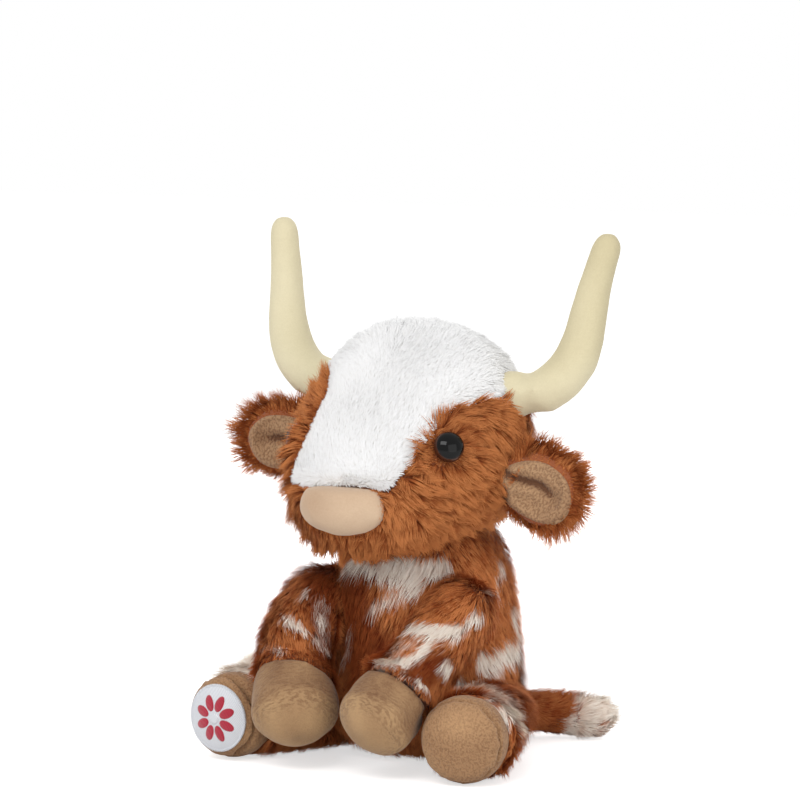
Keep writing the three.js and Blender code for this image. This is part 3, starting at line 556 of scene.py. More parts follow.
root_balls = [
    ((side * x, y, z), radius + 0.7) for (x, y, z), radius in ((SHOULDER, 17.5), (HIP, 20)) for side in (1, -1)
] + [(TAIL_ROOT, 12.2)]
TORSO_FORM = ("torso_skin", "torso_stuffing", "neck_stuffing"), np.array([0, 0, 60]) * mm


def in_limb_sockets(places):
    """The sockets of arms, legs and tail, which the cloth bridges."""
    return in_balls(places, root_balls)


torso = wrapped("torso_cloth", *TORSO_FORM, in_limb_sockets, 6)
move(torso, evened(torso, points_of(torso), 14))
torso_tree = tree_of(torso)
torso_at, torso_out = points_of(torso), normals_of(torso)
pile = np.ones(len(torso_at))
for limb in ("arm_sleeve_left", "arm_sleeve_right", "leg_sleeve_left", "leg_sleeve_right", "tail_sleeve"):
    pile = np.minimum(pile, rise(clearance(torso_at, search_tree(limb)), -4 * mm, 0.5 * mm))
pile = np.minimum(pile, 1 - 0.45 * rise(torso_at[:, 2], 92 * mm, 99 * mm))  # the neck, under the head's edge
pile = np.minimum(pile, 1 - rise(torso_at[:, 2], 106 * mm, 112 * mm))  # and inside the head
pile = np.minimum(pile, 0.25 + 0.75 * rise(torso_at[:, 2], 0.5 * mm, 8 * mm))  # the seat, pressed flat
pile = evened(torso, pile, 6)
torso_comb = combed(torso_out, np.array([0, 0, -1]) + 0.5 * torso_out * [1, 1, 0], torso_at, 21)
TORSO_PATCHES = [
    ((-22, -35, 88), (4, -40, 88), 3.4), ((4, -40, 88), (27, -30, 89), 5.2), ((15, -38, 86), (19, -37, 82), 4.0),
    ((12, -40, 79), (-2, -42, 71), 3.2, 0.45), ((3, -41, 75), (-1, -42, 71), 1.2),
    ((-15, -40, 62), (-17, -40, 57), 1.8, 0.35), ((-16, -40, 52), (-19, -40, 45), 2.2, 0.35),
    ((41, 0, 87), (41, -6, 77), 1.0), ((43, -17, 46), (47, 8, 51), 5), ((34, -31, 38), (37, -27, 36), 2.0),
    ((42, 10, 66), (43, 12, 56), 2.0), ((-47, 4, 60), (-46, 16, 54), 6.5), ((-20, 40, 60), (4, 46, 70), 8),
    ((24, 38, 40), (34, 30, 36), 6), ((-34, 30, 22), (-26, 36, 30), 7),
]
# Painted shade: deep patches darken the front between the arms and under the head, where shade falls.
TORSO_PAINTED_SHADE = [((-16, -38, 80), (-6, -42, 50), 13), ((-2, -42, 50), (0, -42, 20), 14)]
torso_white = dye_and_painted_light_patches(torso_at, torso_comb, TORSO_PATCHES, 11)
torso_painted_shade = dye_and_painted_light_patches(torso_at, torso_comb, TORSO_PAINTED_SHADE, 17, 5 * mm)
paint(torso, pile=pile, white=torso_white, deep=torso_painted_shade, comb=torso_comb)
patch_faces(torso, lambda centres: np.where(centres[:, 1] > 4 * mm, 1, 2 * (centres[:, 0] < 0)))
move(torso, torso_at - torso_out * (PILE_DEPTH * np.maximum(pile, 0.35))[:, None])
finished(torso, body_cloth, "torso", "russet_fur", 0.85, "torso_skin")


def filled(name, nodes, centre, bridged, body, *stands_for):
    """The filling inside a wrapped skin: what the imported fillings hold, drawn in under the sunk backing."""
    filling = wrapped(name, nodes, centre, bridged, 5)
    move(filling, evened(filling, points_of(filling), 6))
    move(filling, points_of(filling) - FILLING_DEPTH * normals_of(filling))
    finished(filling, fibre_fill, body, "fibre_fill", 0.9, *stands_for)


filled("torso_filling", *TORSO_FORM, in_limb_sockets, "torso", "torso_stuffing", "neck_stuffing")
THREE_PARTS = (("left", 3), ("back", 2), ("right", 3))  # and each strand's segments
for patch, (part, segments) in enumerate(THREE_PARTS):
    sizes = dict(BODY_PILE, Strands_per_mm2=2.9, Segments=segments)
    grown("torso_pile_" + part, torso, "torso", "russet_fur", Patch=patch, Seed=31 + patch, **sizes)


# --- Head ----------------------------------------------------------------------------------------------------
# One skin of russet fur cloth for cheeks, chin and nape, with a white panel let in from the nose to the crown. The
# head sits on the round chest, so its underside is hollow. The pile is brushed back and down, and parts at the eye.
HEAD_CENTRE = np.array([0, -10, 145]) * mm
NECK = np.array([0, 0, 78]) * mm
NECK_RADIUS = 42.5 * mm
HORN_ROOT = (49.5, -3.5, 166.5)
EAR_ROOTS = {"left": (55.1, -13, 132.5), "right": (-56.55, -9, 141)}
EYE_AT = {1: np.array([41.6, -47.2, 146.2]) * mm, -1: np.array([-43.8, -44.9, 146.2]) * mm}
EYE_PACKED = np.array([41.66, -46, 148.79]) * mm  # they sit a little lower than packed
NOSE_AT, NOSE_HALF = np.array([0, -71, 117.5]) * mm, np.array([21.5, 11, 12]) * mm
BLAZE_EDGE = 128 * mm
# The white panel's half width on either side, in mm, from its front to its back: where along Y, and how wide
BLAZE_LEFT = [-96, -71, -64, -58, -51, -45, -41, -36, -28, -12], [24, 25, 29, 29.8, 32.4, 34.8, 37, 41, 45.5, 55]
BLAZE_RIGHT = [-96, -66, -61, -50, -42, -33, -22, -12], [32.5, 32.5, 29.5, 28, 27, 32, 43, 55]
head_balls = [((side * HORN_ROOT[0], *HORN_ROOT[1:]), 12.7) for side in (1, -1)]
head_balls += [(place, 8.7) for place in EAR_ROOTS.values()]
head_balls += [(tuple(place / mm), 10) for place in EYE_AT.values()]


def in_head_beds(places):
    """The sockets of horns and ears, and the beds of eyes and nose, which the cloth bridges."""
    nose = np.linalg.norm((places - NOSE_AT) / (NOSE_HALF + 1.2 * mm), axis=1) < 1
    return in_balls(places, head_balls) | nose


def blaze_reach(places):
    """How far each point lies inside the white panel's outline, less than 0 outside it."""
    x, y, z = places.T / mm
    left = np.interp(y, *BLAZE_LEFT)
    right = np.interp(y, *BLAZE_RIGHT)
    back = 55 * np.sqrt(np.clip(1 - ((y + 12) / 48) ** 2, 0, 1))
    wide = np.where(y < -12, np.where(x > 0, left, right), back) - np.abs(x)
    low = np.interp(np.abs(x), [36, 44, 50], [BLAZE_EDGE / mm, 150, 165])  # it stays above the foot of each horn
    return np.minimum(wide, z - low) * mm


HEAD_FORM = ("head_skin", "blaze_panel", "head_stuffing"), HEAD_CENTRE
head = wrapped("head_cloth", *HEAD_FORM, in_head_beds, 6)
move(head, evened(head, points_of(head), 16))
slim = 2.5 * mm * swell(points_of(head), (-44, -22, 172), 20)  # it is fuller on its left than its right
move(head, points_of(head) - normals_of(head) * slim[:, None])
head_tree = tree_of(head)
head_at, head_out = points_of(head), normals_of(head)
ragged = 0.7 * mm * wander(head_at, 5 * mm, 41)
in_blaze = rise(blaze_reach(head_at) + ragged, -0.8 * mm, 0.8 * mm)
below = np.linalg.norm(head_at - NECK, axis=1)
pile = rise(below, NECK_RADIUS + 0.5 * mm, NECK_RADIUS + 4 * mm)
for side, word in ((1, "left"), (-1, "right")):
    pile = np.minimum(pile, rise(clearance(head_at, search_tree("horn_" + word)), -3 * mm, 1.5 * mm))
    pile = np.minimum(pile, rise(clearance(head_at, search_tree("ear_" + word)), -2 * mm, 2 * mm))
    pile = np.minimum(pile, rise(np.linalg.norm(head_at - EYE_AT[side], axis=1), 5.2 * mm, 8.5 * mm))
nose_off = (np.linalg.norm((head_at - NOSE_AT) / NOSE_HALF, axis=1) - 1) * 12 * mm
pile = np.minimum(pile, rise(nose_off, -1.5 * mm, 3 * mm))
pile = evened(head, pile, 4)
sideways = np.clip(head_at[:, 0] / (22 * mm), -1, 1)
head_flow = np.stack([0.5 * sideways, np.full(len(head_at), 0.45), np.full(len(head_at), -0.8)], 1)
upper = rise(head_at[:, 2], 150 * mm, 168 * mm)[:, None]
head_flow = head_flow * (1 - upper) + np.array([0, 0.7, 0.2]) * upper
for side in (1, -1):
    from_eye = head_at - EYE_AT[side]
    near = 1 - rise(np.linalg.norm(from_eye, axis=1), 7 * mm, 18 * mm)
    head_flow = head_flow * (1 - near[:, None]) + unit(from_eye) * near[:, None]
below_nose = (1 - rise(nose_off, 2 * mm, 14 * mm)) * (head_at[:, 2] < 124 * mm)
head_flow = head_flow * (1 - below_nose[:, None]) + np.array([0, 0, -1]) * below_nose[:, None]
round_head = unit(head_at - HEAD_CENTRE)
blaze_flow = np.stack([0.4 * sideways, np.clip(round_head[:, 2], 0.1, 1), -round_head[:, 1]], 1)  # up, back and down
rim = (1 - rise(head_at[:, 2], 129 * mm, 134 * mm))[:, None]
blaze_flow = blaze_flow * (1 - rim) + np.array([0, -0.3, -1]) * rim
outline = 1 - rise(blaze_reach(head_at), 0, 6 * mm)
blaze_flow += 1.1 * outline[:, None] * (sideways[:, None] * [1, 0, 0] - [0, 0, 0.8])
for side, word in ((1, "left"), (-1, "right")):  # the pile laps over the foot of each horn
    by_horn = 1 - rise(clearance(head_at, search_tree("horn_" + word)), 2 * mm, 9 * mm)
    blaze_flow += 2.2 * by_horn[:, None] * np.array([side, 0, 0.25])
    head_flow += 1.8 * by_horn[:, None] * np.array([side, 0, 0.25])
head_flow = head_flow * (1 - in_blaze[:, None]) + blaze_flow * in_blaze[:, None]

# The white panel: a copy of the skin inside the outline, as a thin closed cloth that lies on the russet one.
blaze_mesh = head.data.copy()
blaze = new_piece("blaze_cloth", blaze_mesh)
BLAZE_DEPTH, BLAZE_THICK, UNDER_BLAZE = 3.4 * mm, 1.4 * mm, 5.4 * mm
crown = np.maximum(rise(head_at[:, 2], 176 * mm, 196 * mm), rise(head_at[:, 1], -30 * mm, 5 * mm))
blaze_pile = np.minimum(1, pile * 1.2) * (0.5 + 0.5 * crown)
drop = 0.35 + 0.65 * np.maximum(crown, 0.8 * (1 - rise(blaze_reach(head_at), 0, 5 * mm)))
move(blaze, head_at - head_out * (BLAZE_DEPTH * drop)[:, None])
paint(
    blaze,
    pile=blaze_pile,
    white=np.ones(len(head_at)),
    comb=combed(head_out, blaze_flow, head_at, 43, 0.5),
    reach=blaze_reach(head_at) + ragged,
)
patch_faces(blaze, lambda centres: centres[:, 1] > -22 * mm)
cut = bmesh.new()
cut.from_mesh(blaze_mesh)
layer = cut.verts.layers.float["reach"]
bmesh.ops.delete(cut, geom=[v for v in cut.verts if v[layer] < 0], context="VERTS")
bmesh.ops.delete(cut, geom=[v for v in cut.verts if not v.link_faces], context="VERTS")
for _ in range(6):  # the cut edge, drawn into a smooth line
    edge = [v for v in cut.verts if v.is_boundary]
    means = {v: sum((e.other_vert(v).co for e in v.link_edges if e.is_boundary), Vector()) / 2 for v in edge}
    for v, mean in means.items():
        if sum(e.is_boundary for e in v.link_edges) == 2:
            v.co = v.co.lerp(mean, 0.5)
cut.to_mesh(blaze_mesh)
cut.free()

# Brushed acrylic knit, short and dense: matt white with a soft, cool shade between the tufts.
blaze_fur = fur_finish("brushed_acrylic_pile_white", "#F3F2F0", "#F5F5F4", "#F8F8F8", "#EFEDEA", "#F8F8F8", 0.1)
blaze_backing = cloth_finish("knitted_backing_white", "#F0EFEE", "#F2F1F0")
BLAZE_PILE = dict(
    Strands_per_mm2=5.8, Length_mm=4.8, Width_mm=0.5, Segments=2, Lay=0.9, Wave=0.3, Wave_size_mm=8.0,
    Stray=0.08, Tuft=0.12, Tuft_size_mm=2.6, Finish=blaze_fur,
)
CROWN_PILE = dict(BLAZE_PILE, Length_mm=5.4, Stray=0.12, Wave=0.5, Wave_size_mm=6.0, Tuft=0.25, Tuft_size_mm=3.6)
for patch, (name, sizes) in enumerate((("blaze_pile_front", BLAZE_PILE), ("blaze_pile_crown", CROWN_PILE))):
    grown(name, blaze, "head", "white_fur", Patch=patch, Seed=51 + patch, **sizes)
wall = blaze.modifiers.new("cloth thickness", "SOLIDIFY")
wall.thickness, wall.offset = BLAZE_THICK, -1
solid_mesh = settled(blaze)
blaze.modifiers.clear()
blaze.data = solid_mesh
finished(blaze, blaze_backing, "head", "white_fur", 0.8, "blaze_panel")

# Its darker roots are partly the dye and partly painted shade between the strands.
head_fur = fur_finish("acrylic_pile_russet", "#7A3A1A", "#9C5329", "#CB814B", "#EAD6C8", "#FFFAF4", 0.5, 0.2)
head_backing = cloth_finish("knitted_backing_head", "#96522C", "#E4D8CE")
HEAD_PILE = dict(
    BODY_PILE, Strands_per_mm2=4.2, Tuft=0.75, Tuft_size_mm=4.6, Wave=1.3, Wave_size_mm=7.0, Finish=head_fur
)
head_pile = pile * (1 - in_blaze)
paint(head, pile=head_pile, white=np.zeros(len(head_at)), comb=combed(head_out, head_flow, head_at, 42))
patch_faces(head, lambda centres: np.where(centres[:, 1] > -20 * mm, 1, 2 * (centres[:, 0] < 0)))
dimple = sum(1 - rise(np.linalg.norm(head_at - EYE_AT[side], axis=1), 4 * mm, 10 * mm) for side in (1, -1))
by_blaze = 1 - rise(-blaze_reach(head_at), 0, 7 * mm)
sink = PILE_DEPTH * np.maximum(pile, 0.35) * (1 - 0.25 * by_blaze) + 1.0 * mm * dimple
sink = sink * (1 - in_blaze) + UNDER_BLAZE * in_blaze
sink -= 4.2 * mm * swell(head_at, (-36, -54.7, 146.4), 8)  # the pile by its right eye is fuller, and half hides it
relaid(move(head, head_at - head_out * sink[:, None]))
finished(head, head_backing, "head", "russet_fur", 0.85, "head_skin")
filled("head_filling", *HEAD_FORM, in_head_beds, "head", "head_stuffing")
for patch, (part, segments) in enumerate(THREE_PARTS):
    sizes = dict(HEAD_PILE, Segments=segments)
    grown("head_pile_" + part, head, "head", "russet_fur", Patch=patch, Seed=61 + patch, **sizes)


# --- Nose ----------------------------------------------------------------------------------------------------
# A pad of smooth brushed fleece, stuffed round and sewn straight along the white panel's lower edge.
def sewn(name, node_names, grid, rounds):
    """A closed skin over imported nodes, in small even faces with its corners rounded."""
    shape = bmesh.new()
    for node_name in node_names:
        shape.from_mesh(rest_nodes[node_name].data)
    bmesh.ops.remove_doubles(shape, verts=shape.verts, dist=0.01 * mm)
    mesh = bpy.data.meshes.new(name)
    shape.to_mesh(mesh)
    shape.free()
    piece = new_piece(name, mesh)
    even = piece.modifiers.new("even faces", "REMESH")
    even.mode, even.voxel_size = "VOXEL", grid
    mesh = settled(piece)
    piece.modifiers.clear()
    piece.data = mesh
    mesh.name = name
    move(piece, evened(piece, points_of(piece), rounds))
    mesh.shade_smooth()
    return piece


def stuffed(piece, sewn_in, slack=0.7 * mm, most=1.2 * mm):
    """Fills a skin: a cloth simulation blows it up from a slightly smaller shape, and holds it where it is sewn
    in. Each face is then split in four."""
    start = points_of(piece) - slack * normals_of(piece) * (1 - sewn_in)[:, None]
    move(piece, start)
    seam = piece.vertex_groups.new(name="seam")
    for i in np.flatnonzero(sewn_in):
        seam.add([int(i)], float(sewn_in[i]), "REPLACE")
    skin = piece.modifiers.new("filling", "CLOTH").settings
    skin.quality, skin.mass, skin.vertex_group_mass = 6, 0.0005, "seam"
    skin.use_pressure, skin.uniform_pressure_force, skin.shrink_min = True, 4, -0.02
    skin.tension_stiffness = skin.compression_stiffness = skin.shear_stiffness = 5
    skin.bending_stiffness, skin.effector_weights.gravity = 0.05, 0
    for step in range(1, 21):
        bpy.context.scene.frame_set(step)
    blown = settled(piece)
    went = np.array([v.co for v in blown.vertices]) - start
    bpy.data.meshes.remove(blown)
    piece.modifiers.clear()
    piece.vertex_groups.clear()
    bpy.context.scene.frame_set(1)
    went *= np.minimum(1, most / np.maximum(np.linalg.norm(went, axis=1), 1e-9))[:, None]
    move(piece, evened(piece, start + went, 2))
    finer = piece.modifiers.new("finer faces", "SUBSURF")
    finer.levels = finer.render_levels = 1
    mesh = settled(piece)
    piece.modifiers.clear()
    piece.data = mesh
    mesh.name = piece.name
    mesh.shade_smooth()
    return piece


def short_pile(name, shade, light, ridge_mm, run, relief_mm, **shader):
    """Short plush. Its tone turns with the way that the nap lies, kept in `nap`, which on the horns and the ear linings
    also holds painted light and shade. Where it is `broken` open, thin partings run along the second axis of `cloth`,
    which holds the place on the cloth; they and the hollows of the grain are painted dark with shade."""
    made, tree, inputs = material(name, **shader)
    lies, broken = (add(tree, "Attribute", attribute_name=name).outputs["Fac"] for name in ("nap", "broken"))
    cloth = add(tree, "Attribute", attribute_name="cloth").outputs["Vector"]
    drawn = add(tree, "Mapping", {"Vector": cloth, "Scale": (1.0, run, run)})
    ridges = add(tree, "TexNoise", {"Vector": drawn, "Scale": 1 / (ridge_mm * mm), "Detail": 1.0, "Distortion": 0.3})
    ridges = add(tree, "MapRange", {"Value": ridges, "From Min": 0.38, "From Max": 0.56})
    grain = add(tree, "TexNoise", {"Vector": cloth, "Scale": 1 / (0.7 * mm), "Detail": 1.0})
    deep = add(tree, "Math.SUBTRACT", (ridges, 1.0))
    deep = add(tree, "Math.MULTIPLY", (deep, broken))
    fine = add(tree, "Math.MULTIPLY_ADD", (grain, 0.9, -0.45))
    height = add(tree, "Math.ADD", (deep, fine))
    # Painted shade: the tone follows the relief, so lower places are darker.
    tone = add(tree, "Math.MULTIPLY_ADD", (height, 0.4, lies), use_clamp=True)
    colour = add(tree, "Mix", {"Factor": tone, "A": linear(shade), "B": linear(light)}, data_type="RGBA")
    bump = add(tree, "Bump", {"Height": height, "Strength": 0.7, "Distance": relief_mm * mm})
    feed(tree, inputs, colour.outputs[2], bump.outputs[0])
    return made


# Brushed polyester fleece, sheared very short: smooth and soft, with a pale sheen at the edges.
nose_fleece = short_pile(
    "sheared_polyester_fleece", "#BB9B7E", "#D3B89B", 1.2, 1.0, 0.12, Roughness=0.85, Sheen_Weight=0.15
)
nose = sewn("nose_pad_fleece", ("nose_pad",), 2.0 * mm, 5)
stuffed(nose, 1 - rise(clearance(points_of(nose), head_tree), -1 * mm, 0.5 * mm), 0.1 * mm, 0.6 * mm)
places = points_of(nose)
height = np.clip((places[:, 2] - NOSE_AT[2]) / NOSE_HALF[2], 0, 0.9)
fuller = (1 - height**4) ** 0.25 / np.sqrt(1 - height**2)  # the seam holds its upper corners wide
places[:, :2] = NOSE_AT[:2] + (places[:, :2] - NOSE_AT[:2]) * (1 + 0.75 * (fuller - 1))[:, None]
move(nose, evened(nose, places * [1.05, 1, 1] + np.array([1.0, 0, 0.6]) * mm, 4))
places = points_of(nose)
paint(nose, nap=0.65 + 0.2 * wander(places, 14 * mm, 71), broken=np.full(len(places), 0.15), cloth=places)
finished(nose, nose_fleece, "head", "nose_fleece", 0.9, "nose_pad")


# --- Eyes ----------------------------------------------------------------------------------------------------
# Round safety eyes, moulded in one: a glossy black dome with a dark brown ring, on a ribbed shank through the cloth.
def ringed(name, rings, sides):
    """A smooth skin over rings of points, each joined to the next. A ring of one point is a pole."""
    shape = bmesh.new()
    rings = [[shape.verts.new(place) for place in ring] * (sides if len(ring) == 1 else 1) for ring in rings]
    for near, far_ring in zip(rings, rings[1:]):
        for i in range(sides):
            j = (i + 1) % sides
            corners = list(dict.fromkeys((near[i], near[j], far_ring[j], far_ring[i])))
            if len(corners) > 2:
                shape.faces.new(corners)
    bmesh.ops.recalc_face_normals(shape, faces=shape.faces)
    mesh = bpy.data.meshes.new(name)
    shape.to_mesh(mesh)
    shape.free()
    mesh.shade_smooth()
    return new_piece(name, mesh)


def lathe(name, profile, at, along, sides=48):
    """A shape turned round an axis. The profile lists distances from the axis and along it."""
    turn = Vector((0, 0, 1)).rotation_difference(Vector(along))
    angles = [2 * math.pi * i / sides for i in range(sides)]
    rings = []
    for radius, height in profile:
        ring = angles if radius else angles[:1]
        rings.append([at + turn @ Vector((radius * math.cos(a), radius * math.sin(a), height)) for a in ring])
    return ringed(name, rings, sides)


# Moulded acrylic, polished in the mould: black with a brown ring under a clear gloss.
eye_black, tree, inputs = material("moulded_acrylic_black", Roughness=0.05, IOR=1.49, Specular_IOR_Level=0.2)
place = add(tree, "TexCoord").outputs["Object"]
cloud = add(tree, "TexNoise", {"Vector": place, "Scale": 1 / (6 * mm), "Detail": 2.0})
rim_at = add(tree, "Attribute", attribute_name="ring").outputs["Fac"]
ring_tone = add(tree, "Mix", {"Factor": cloud, "A": linear("#33180F"), "B": linear("#54301F")}, data_type="RGBA")
eye_tone = add(tree, "Mix", {"Factor": rim_at, "A": linear("#020202"), "B": ring_tone.outputs[2]}, data_type="RGBA")
tree.links.new(eye_tone.outputs[2], inputs["Base Color"])
EYE_WIDE = 6.9 * mm  # its half width at the rim
for side, word in ((1, "left"), (-1, "right")):
    facing_way = Vector((side * 0.68, -0.66, 0.33)).normalized()
    seat = Vector(EYE_AT[side]) - facing_way * (1.6 if side > 0 else 3.8) * mm  # the right one lies deeper
    profile = [(0, -8 * mm), (1.6 * mm, -8 * mm), (2 * mm, -7.4 * mm), (2 * mm, 0), (6.3 * mm, 0), (EYE_WIDE, 0.4 * mm)]
    for i in range(1, 14):
        turn_by = math.pi / 2 * i / 14
        profile.append((EYE_WIDE * math.cos(turn_by), (0.9 + 4.7 * math.sin(turn_by)) * mm))
    profile.append((0, 5.6 * mm))
    eye = lathe("eye_dome_" + word, profile, seat, facing_way)
    away = np.linalg.norm(np.cross(points_of(eye) - np.array(seat), np.array(facing_way)), axis=1)
    paint(eye, ring=rise(away, 5.9 * mm, 6.2 * mm))
    finished(eye, eye_black, "head", "eye_plastic", 0, "eye_" + word)
    washer = new_piece("lock_washer_" + word, rest_nodes["eye_washer_" + word].data.copy())
    move(washer, points_of(washer) + EYE_AT[side] - EYE_PACKED * [side, 1, 1])
    washer.data.materials.clear()
    finished(washer, washer_nylon, "head", "eye_plastic", 0, "eye_washer_" + word)


# --- Horns ---------------------------------------------------------------------------------------------------
# Two stuffed tubes of cream velour, curved up and blunt, sewn into the head's upper corners. Smooth, with a faint nap.
horn_velour = short_pile(
    "cream_velour", "#CBBF9A", "#E4DAB9", 0.9, 0.3, 0.1, Roughness=0.85, Sheen_Weight=0.15, Sheen_Roughness=0.4
)
for word in ("left", "right"):
    horn = sewn("horn_velour_" + word, ("horn_" + word,), 2.2 * mm, 6)
    stuffed(horn, 1 - rise(clearance(points_of(horn), head_tree), -1 * mm, 1 * mm))
    places = points_of(horn)
    upper = rise(places[:, 2], 170 * mm, 188 * mm)
    # Painted shade and light: the left horn is painted darker towards its tip, and the right one lighter at its foot.
    nap = 0.75 + 0.2 * wander(places, 24 * mm, 81) + (-0.55 * upper if word == "left" else 0.25 * (1 - upper))
    paint(horn, nap=nap, broken=np.full(len(places), 0.12), cloth=places[:, [2, 0, 1]])
    finished(horn, horn_velour, word + "_horn", "horn_plush", 0.95, "horn_" + word)


# --- Ears ----------------------------------------------------------------------------------------------------
# Leaves of russet fur cloth with long tufts round the rim, lined in front with tan plush. Each is pinched where it
# is sewn in, so the lining folds into a deep crease with a rolled lip on either side.
VELBOA = dict(Roughness=0.9, Sheen_Weight=0.12, Sheen_Roughness=0.45)
tan_plush = short_pile("tan_velboa_sheared", "#6C472C", "#B69269", 0.95, 0.3, 0.35, **VELBOA)
lining_plush = short_pile("tan_velboa_curled", "#6A452C", "#C09972", 0.9, 0.7, 0.4, **VELBOA)
EAR_PILE = dict(HEAD_PILE, Length_mm=10.5, Lay=0.9, Tuft=0.5, Tuft_size_mm=3.6, Wave=0.5)
EAR_TURNS = {"left": (12, 34), "right": (-16, -6)}  # degrees swept back and drooped
# The lining's outline and its crease, in mm out from the ear's root and up
LINING_LINE = {
    "left": [
        (-3, 3), (3, 9.5), (10, 13), (20, 13), (26, 9.5), (31, 1.5), (30, -8), (20, -12.5), (8, -14), (0, -12),
        (-4, -4),
    ],
    "right": [
        (30, -4), (28, 2.5), (22, 8), (13, 9.3), (5, 8.5), (-1, 5), (-4, -3), (-1, -10), (6, -14.5), (15, -16.5),
        (24, -14),
    ],
}
CREASE = {"left": [(-6, -1), (5, 0.2), (13, 2.6), (22, 1.0)], "right": [(-6, -2.2), (8, -1.6), (15, -1.8), (23, -3.4)]}
for side, word in ((1, "left"), (-1, "right")):
    sweep, droop = (math.radians(a) for a in EAR_TURNS[word])
    turn = Matrix.Rotation(sweep, 3, "Z") @ Matrix.Rotation(droop, 3, "Y")
    to_frame = np.array(Matrix.Diagonal((side, 1, 1)) @ turn)  # from the ear's own axes: out, back and up
    root = np.array(EAR_ROOTS[word]) * mm
    smooth = np.array(LINING_LINE[word]) * mm
    middle_of_lining = smooth.mean(0)
    ear = sewn("ear_cloth_" + word, ("ear_" + word,), 1.1 * mm, 6)
    own = (points_of(ear) - root) @ to_frame
    # Flattened and drawn in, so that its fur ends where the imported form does
    reach = rise(own[:, 0], 0, 12 * mm)
    own[:, 1] *= 1 - 0.3 * reach
    own[:, 2] = own[:, 2] * (1 - 0.2 * reach) + (0.5 if side > 0 else -2.6) * mm * reach
    own[:, 0] -= 3 * mm * rise(own[:, 0], 15 * mm, 34 * mm)
    places = root + own @ to_frame.T
    out = normals_of(move(ear, places))
    pile = rise(clearance(places, head_tree), -2 * mm, 2 * mm)
    pile *= 1 - 0.92 * rise(-(out @ to_frame)[:, 1], 0.35, 0.75)  # the lined side
    pile *= 1 - 0.45 * rise(-own[:, 2], 6 * mm, 14 * mm) * (1 - rise(own[:, 0], 18 * mm, 28 * mm))
    pile = evened(ear, pile, 2)
    fan = (own[:, [0, 2]] - middle_of_lining) * [1.0, 1.3] + np.array([5, 0]) * mm
    comb = np.stack([fan[:, 0], 0 * fan[:, 0], fan[:, 1]], 1) @ to_frame.T
    paint(ear, pile=pile, white=np.zeros(len(places)), comb=combed(out, comb / mm, places, 91, 0.35, 10 * mm))
    finished(ear, head_backing, word + "_ear", "russet_fur", 0.4, "ear_" + word)
    grown("ear_pile_" + word, ear, word + "_ear", "russet_fur", Patch=0, Seed=93, **EAR_PILE)

    # The lining: rings from its middle to its outline, a rolled edge, and the same rings back behind it
    sides, rings, off_ear = 96, 26, 0.04  # the rays start in front of the ear
    for _ in range(3):  # corner cutting, which ends in a smooth closed curve
        onward = np.roll(smooth, -1, 0)
        smooth = np.stack([0.75 * smooth + 0.25 * onward, 0.25 * smooth + 0.75 * onward], 1).reshape(-1, 2)
    steps = np.linalg.norm(np.roll(smooth, -1, 0) - smooth, axis=1)
    walked = np.concatenate([[0], np.cumsum(steps)])
    at = np.linspace(0, walked[-1], sides, endpoint=False)
    closed = np.vstack([smooth, smooth[:1]])
    rim = np.stack([np.interp(at, walked, closed[:, k]) for k in (0, 1)], 1)
    crease = np.array(CREASE[word]) * mm
    ear_tree = tree_of(ear)
    front = Vector(to_frame @ np.array([0, -1, 0]))
    rows, nap, cloth = [], [], []
    for ring, behind in [(ring, False) for ring in range(rings + 1)] + [(ring, True) for ring in range(rings, -1, -1)]:
        share, row = ring / rings, []
        for x, z in middle_of_lining + (rim - middle_of_lining)[: sides if ring else 1] * share:
            start = Vector(root + to_frame @ np.array([x, -off_ear, z]))
            away = ear_tree.ray_cast(start, -front)[3]
            seat = off_ear - away if away is not None else 2 * mm
            off = (z - np.interp(x, *crease.T)) / mm  # from the crease
            valley = math.exp(-((off / 1.5) ** 2)) * (1 - rise(x, 12 * mm, 24 * mm))
            lip = math.exp(-(((abs(off) - 4.5) / 3.2) ** 2)) * (1 - rise(x, 16 * mm, 28 * mm))
            bowl = math.exp(-(((x / mm - 20) / 7) ** 2) - (off / 8) ** 2)
            height = seat + ((1.6 + 2.6 * lip - 1.0 * valley - 1.5 * bowl) * (1 - share**8) + 0.3) * mm
            if behind:
                height = min(height - 1.2 * mm, seat - 0.6 * mm)
            row.append(Vector(root + to_frame @ np.array([x, -height, z])))
            # Painted shade and highlight: the lining is painted darker in the crease and its bowl, and lighter on the
            # rolled lips.
            nap.append(0.72 - 1.0 * valley - 0.12 * bowl + 0.1 * lip)
            cloth.append((x, z, 0.0))
        rows.append(row)
    lining = ringed("ear_lining_plush_" + word, rows, sides)
    paint(lining, nap=np.array(nap), broken=np.full(len(nap), 0.9), cloth=np.array(cloth))
    finished(lining, lining_plush, word + "_ear", "tan_plush", 0.3, "ear_lining_" + word)


# --- Arms ----------------------------------------------------------------------------------------------------
# Stuffed sleeves of tie-dyed fur from round shoulders, ending in hooves of tan velboa whose nap breaks half way down.
def sleeve_pile(places):
    """The pile of a limb's sleeve: none where it is hidden in the torso, and less at the seam."""
    hidden = clearance(places, torso_tree)
    return rise(hidden, -5 * mm, -2 * mm) * (0.6 + 0.4 * rise(hidden, 0, 5 * mm))


def spread(places, out, way, height, reach):
    """How far each point faces this way near this height, fading over this reach, both in mm."""
    return np.clip(out @ way, 0, 1) * np.exp(-(((places[:, 2] - height * mm) / (reach * mm)) ** 2))


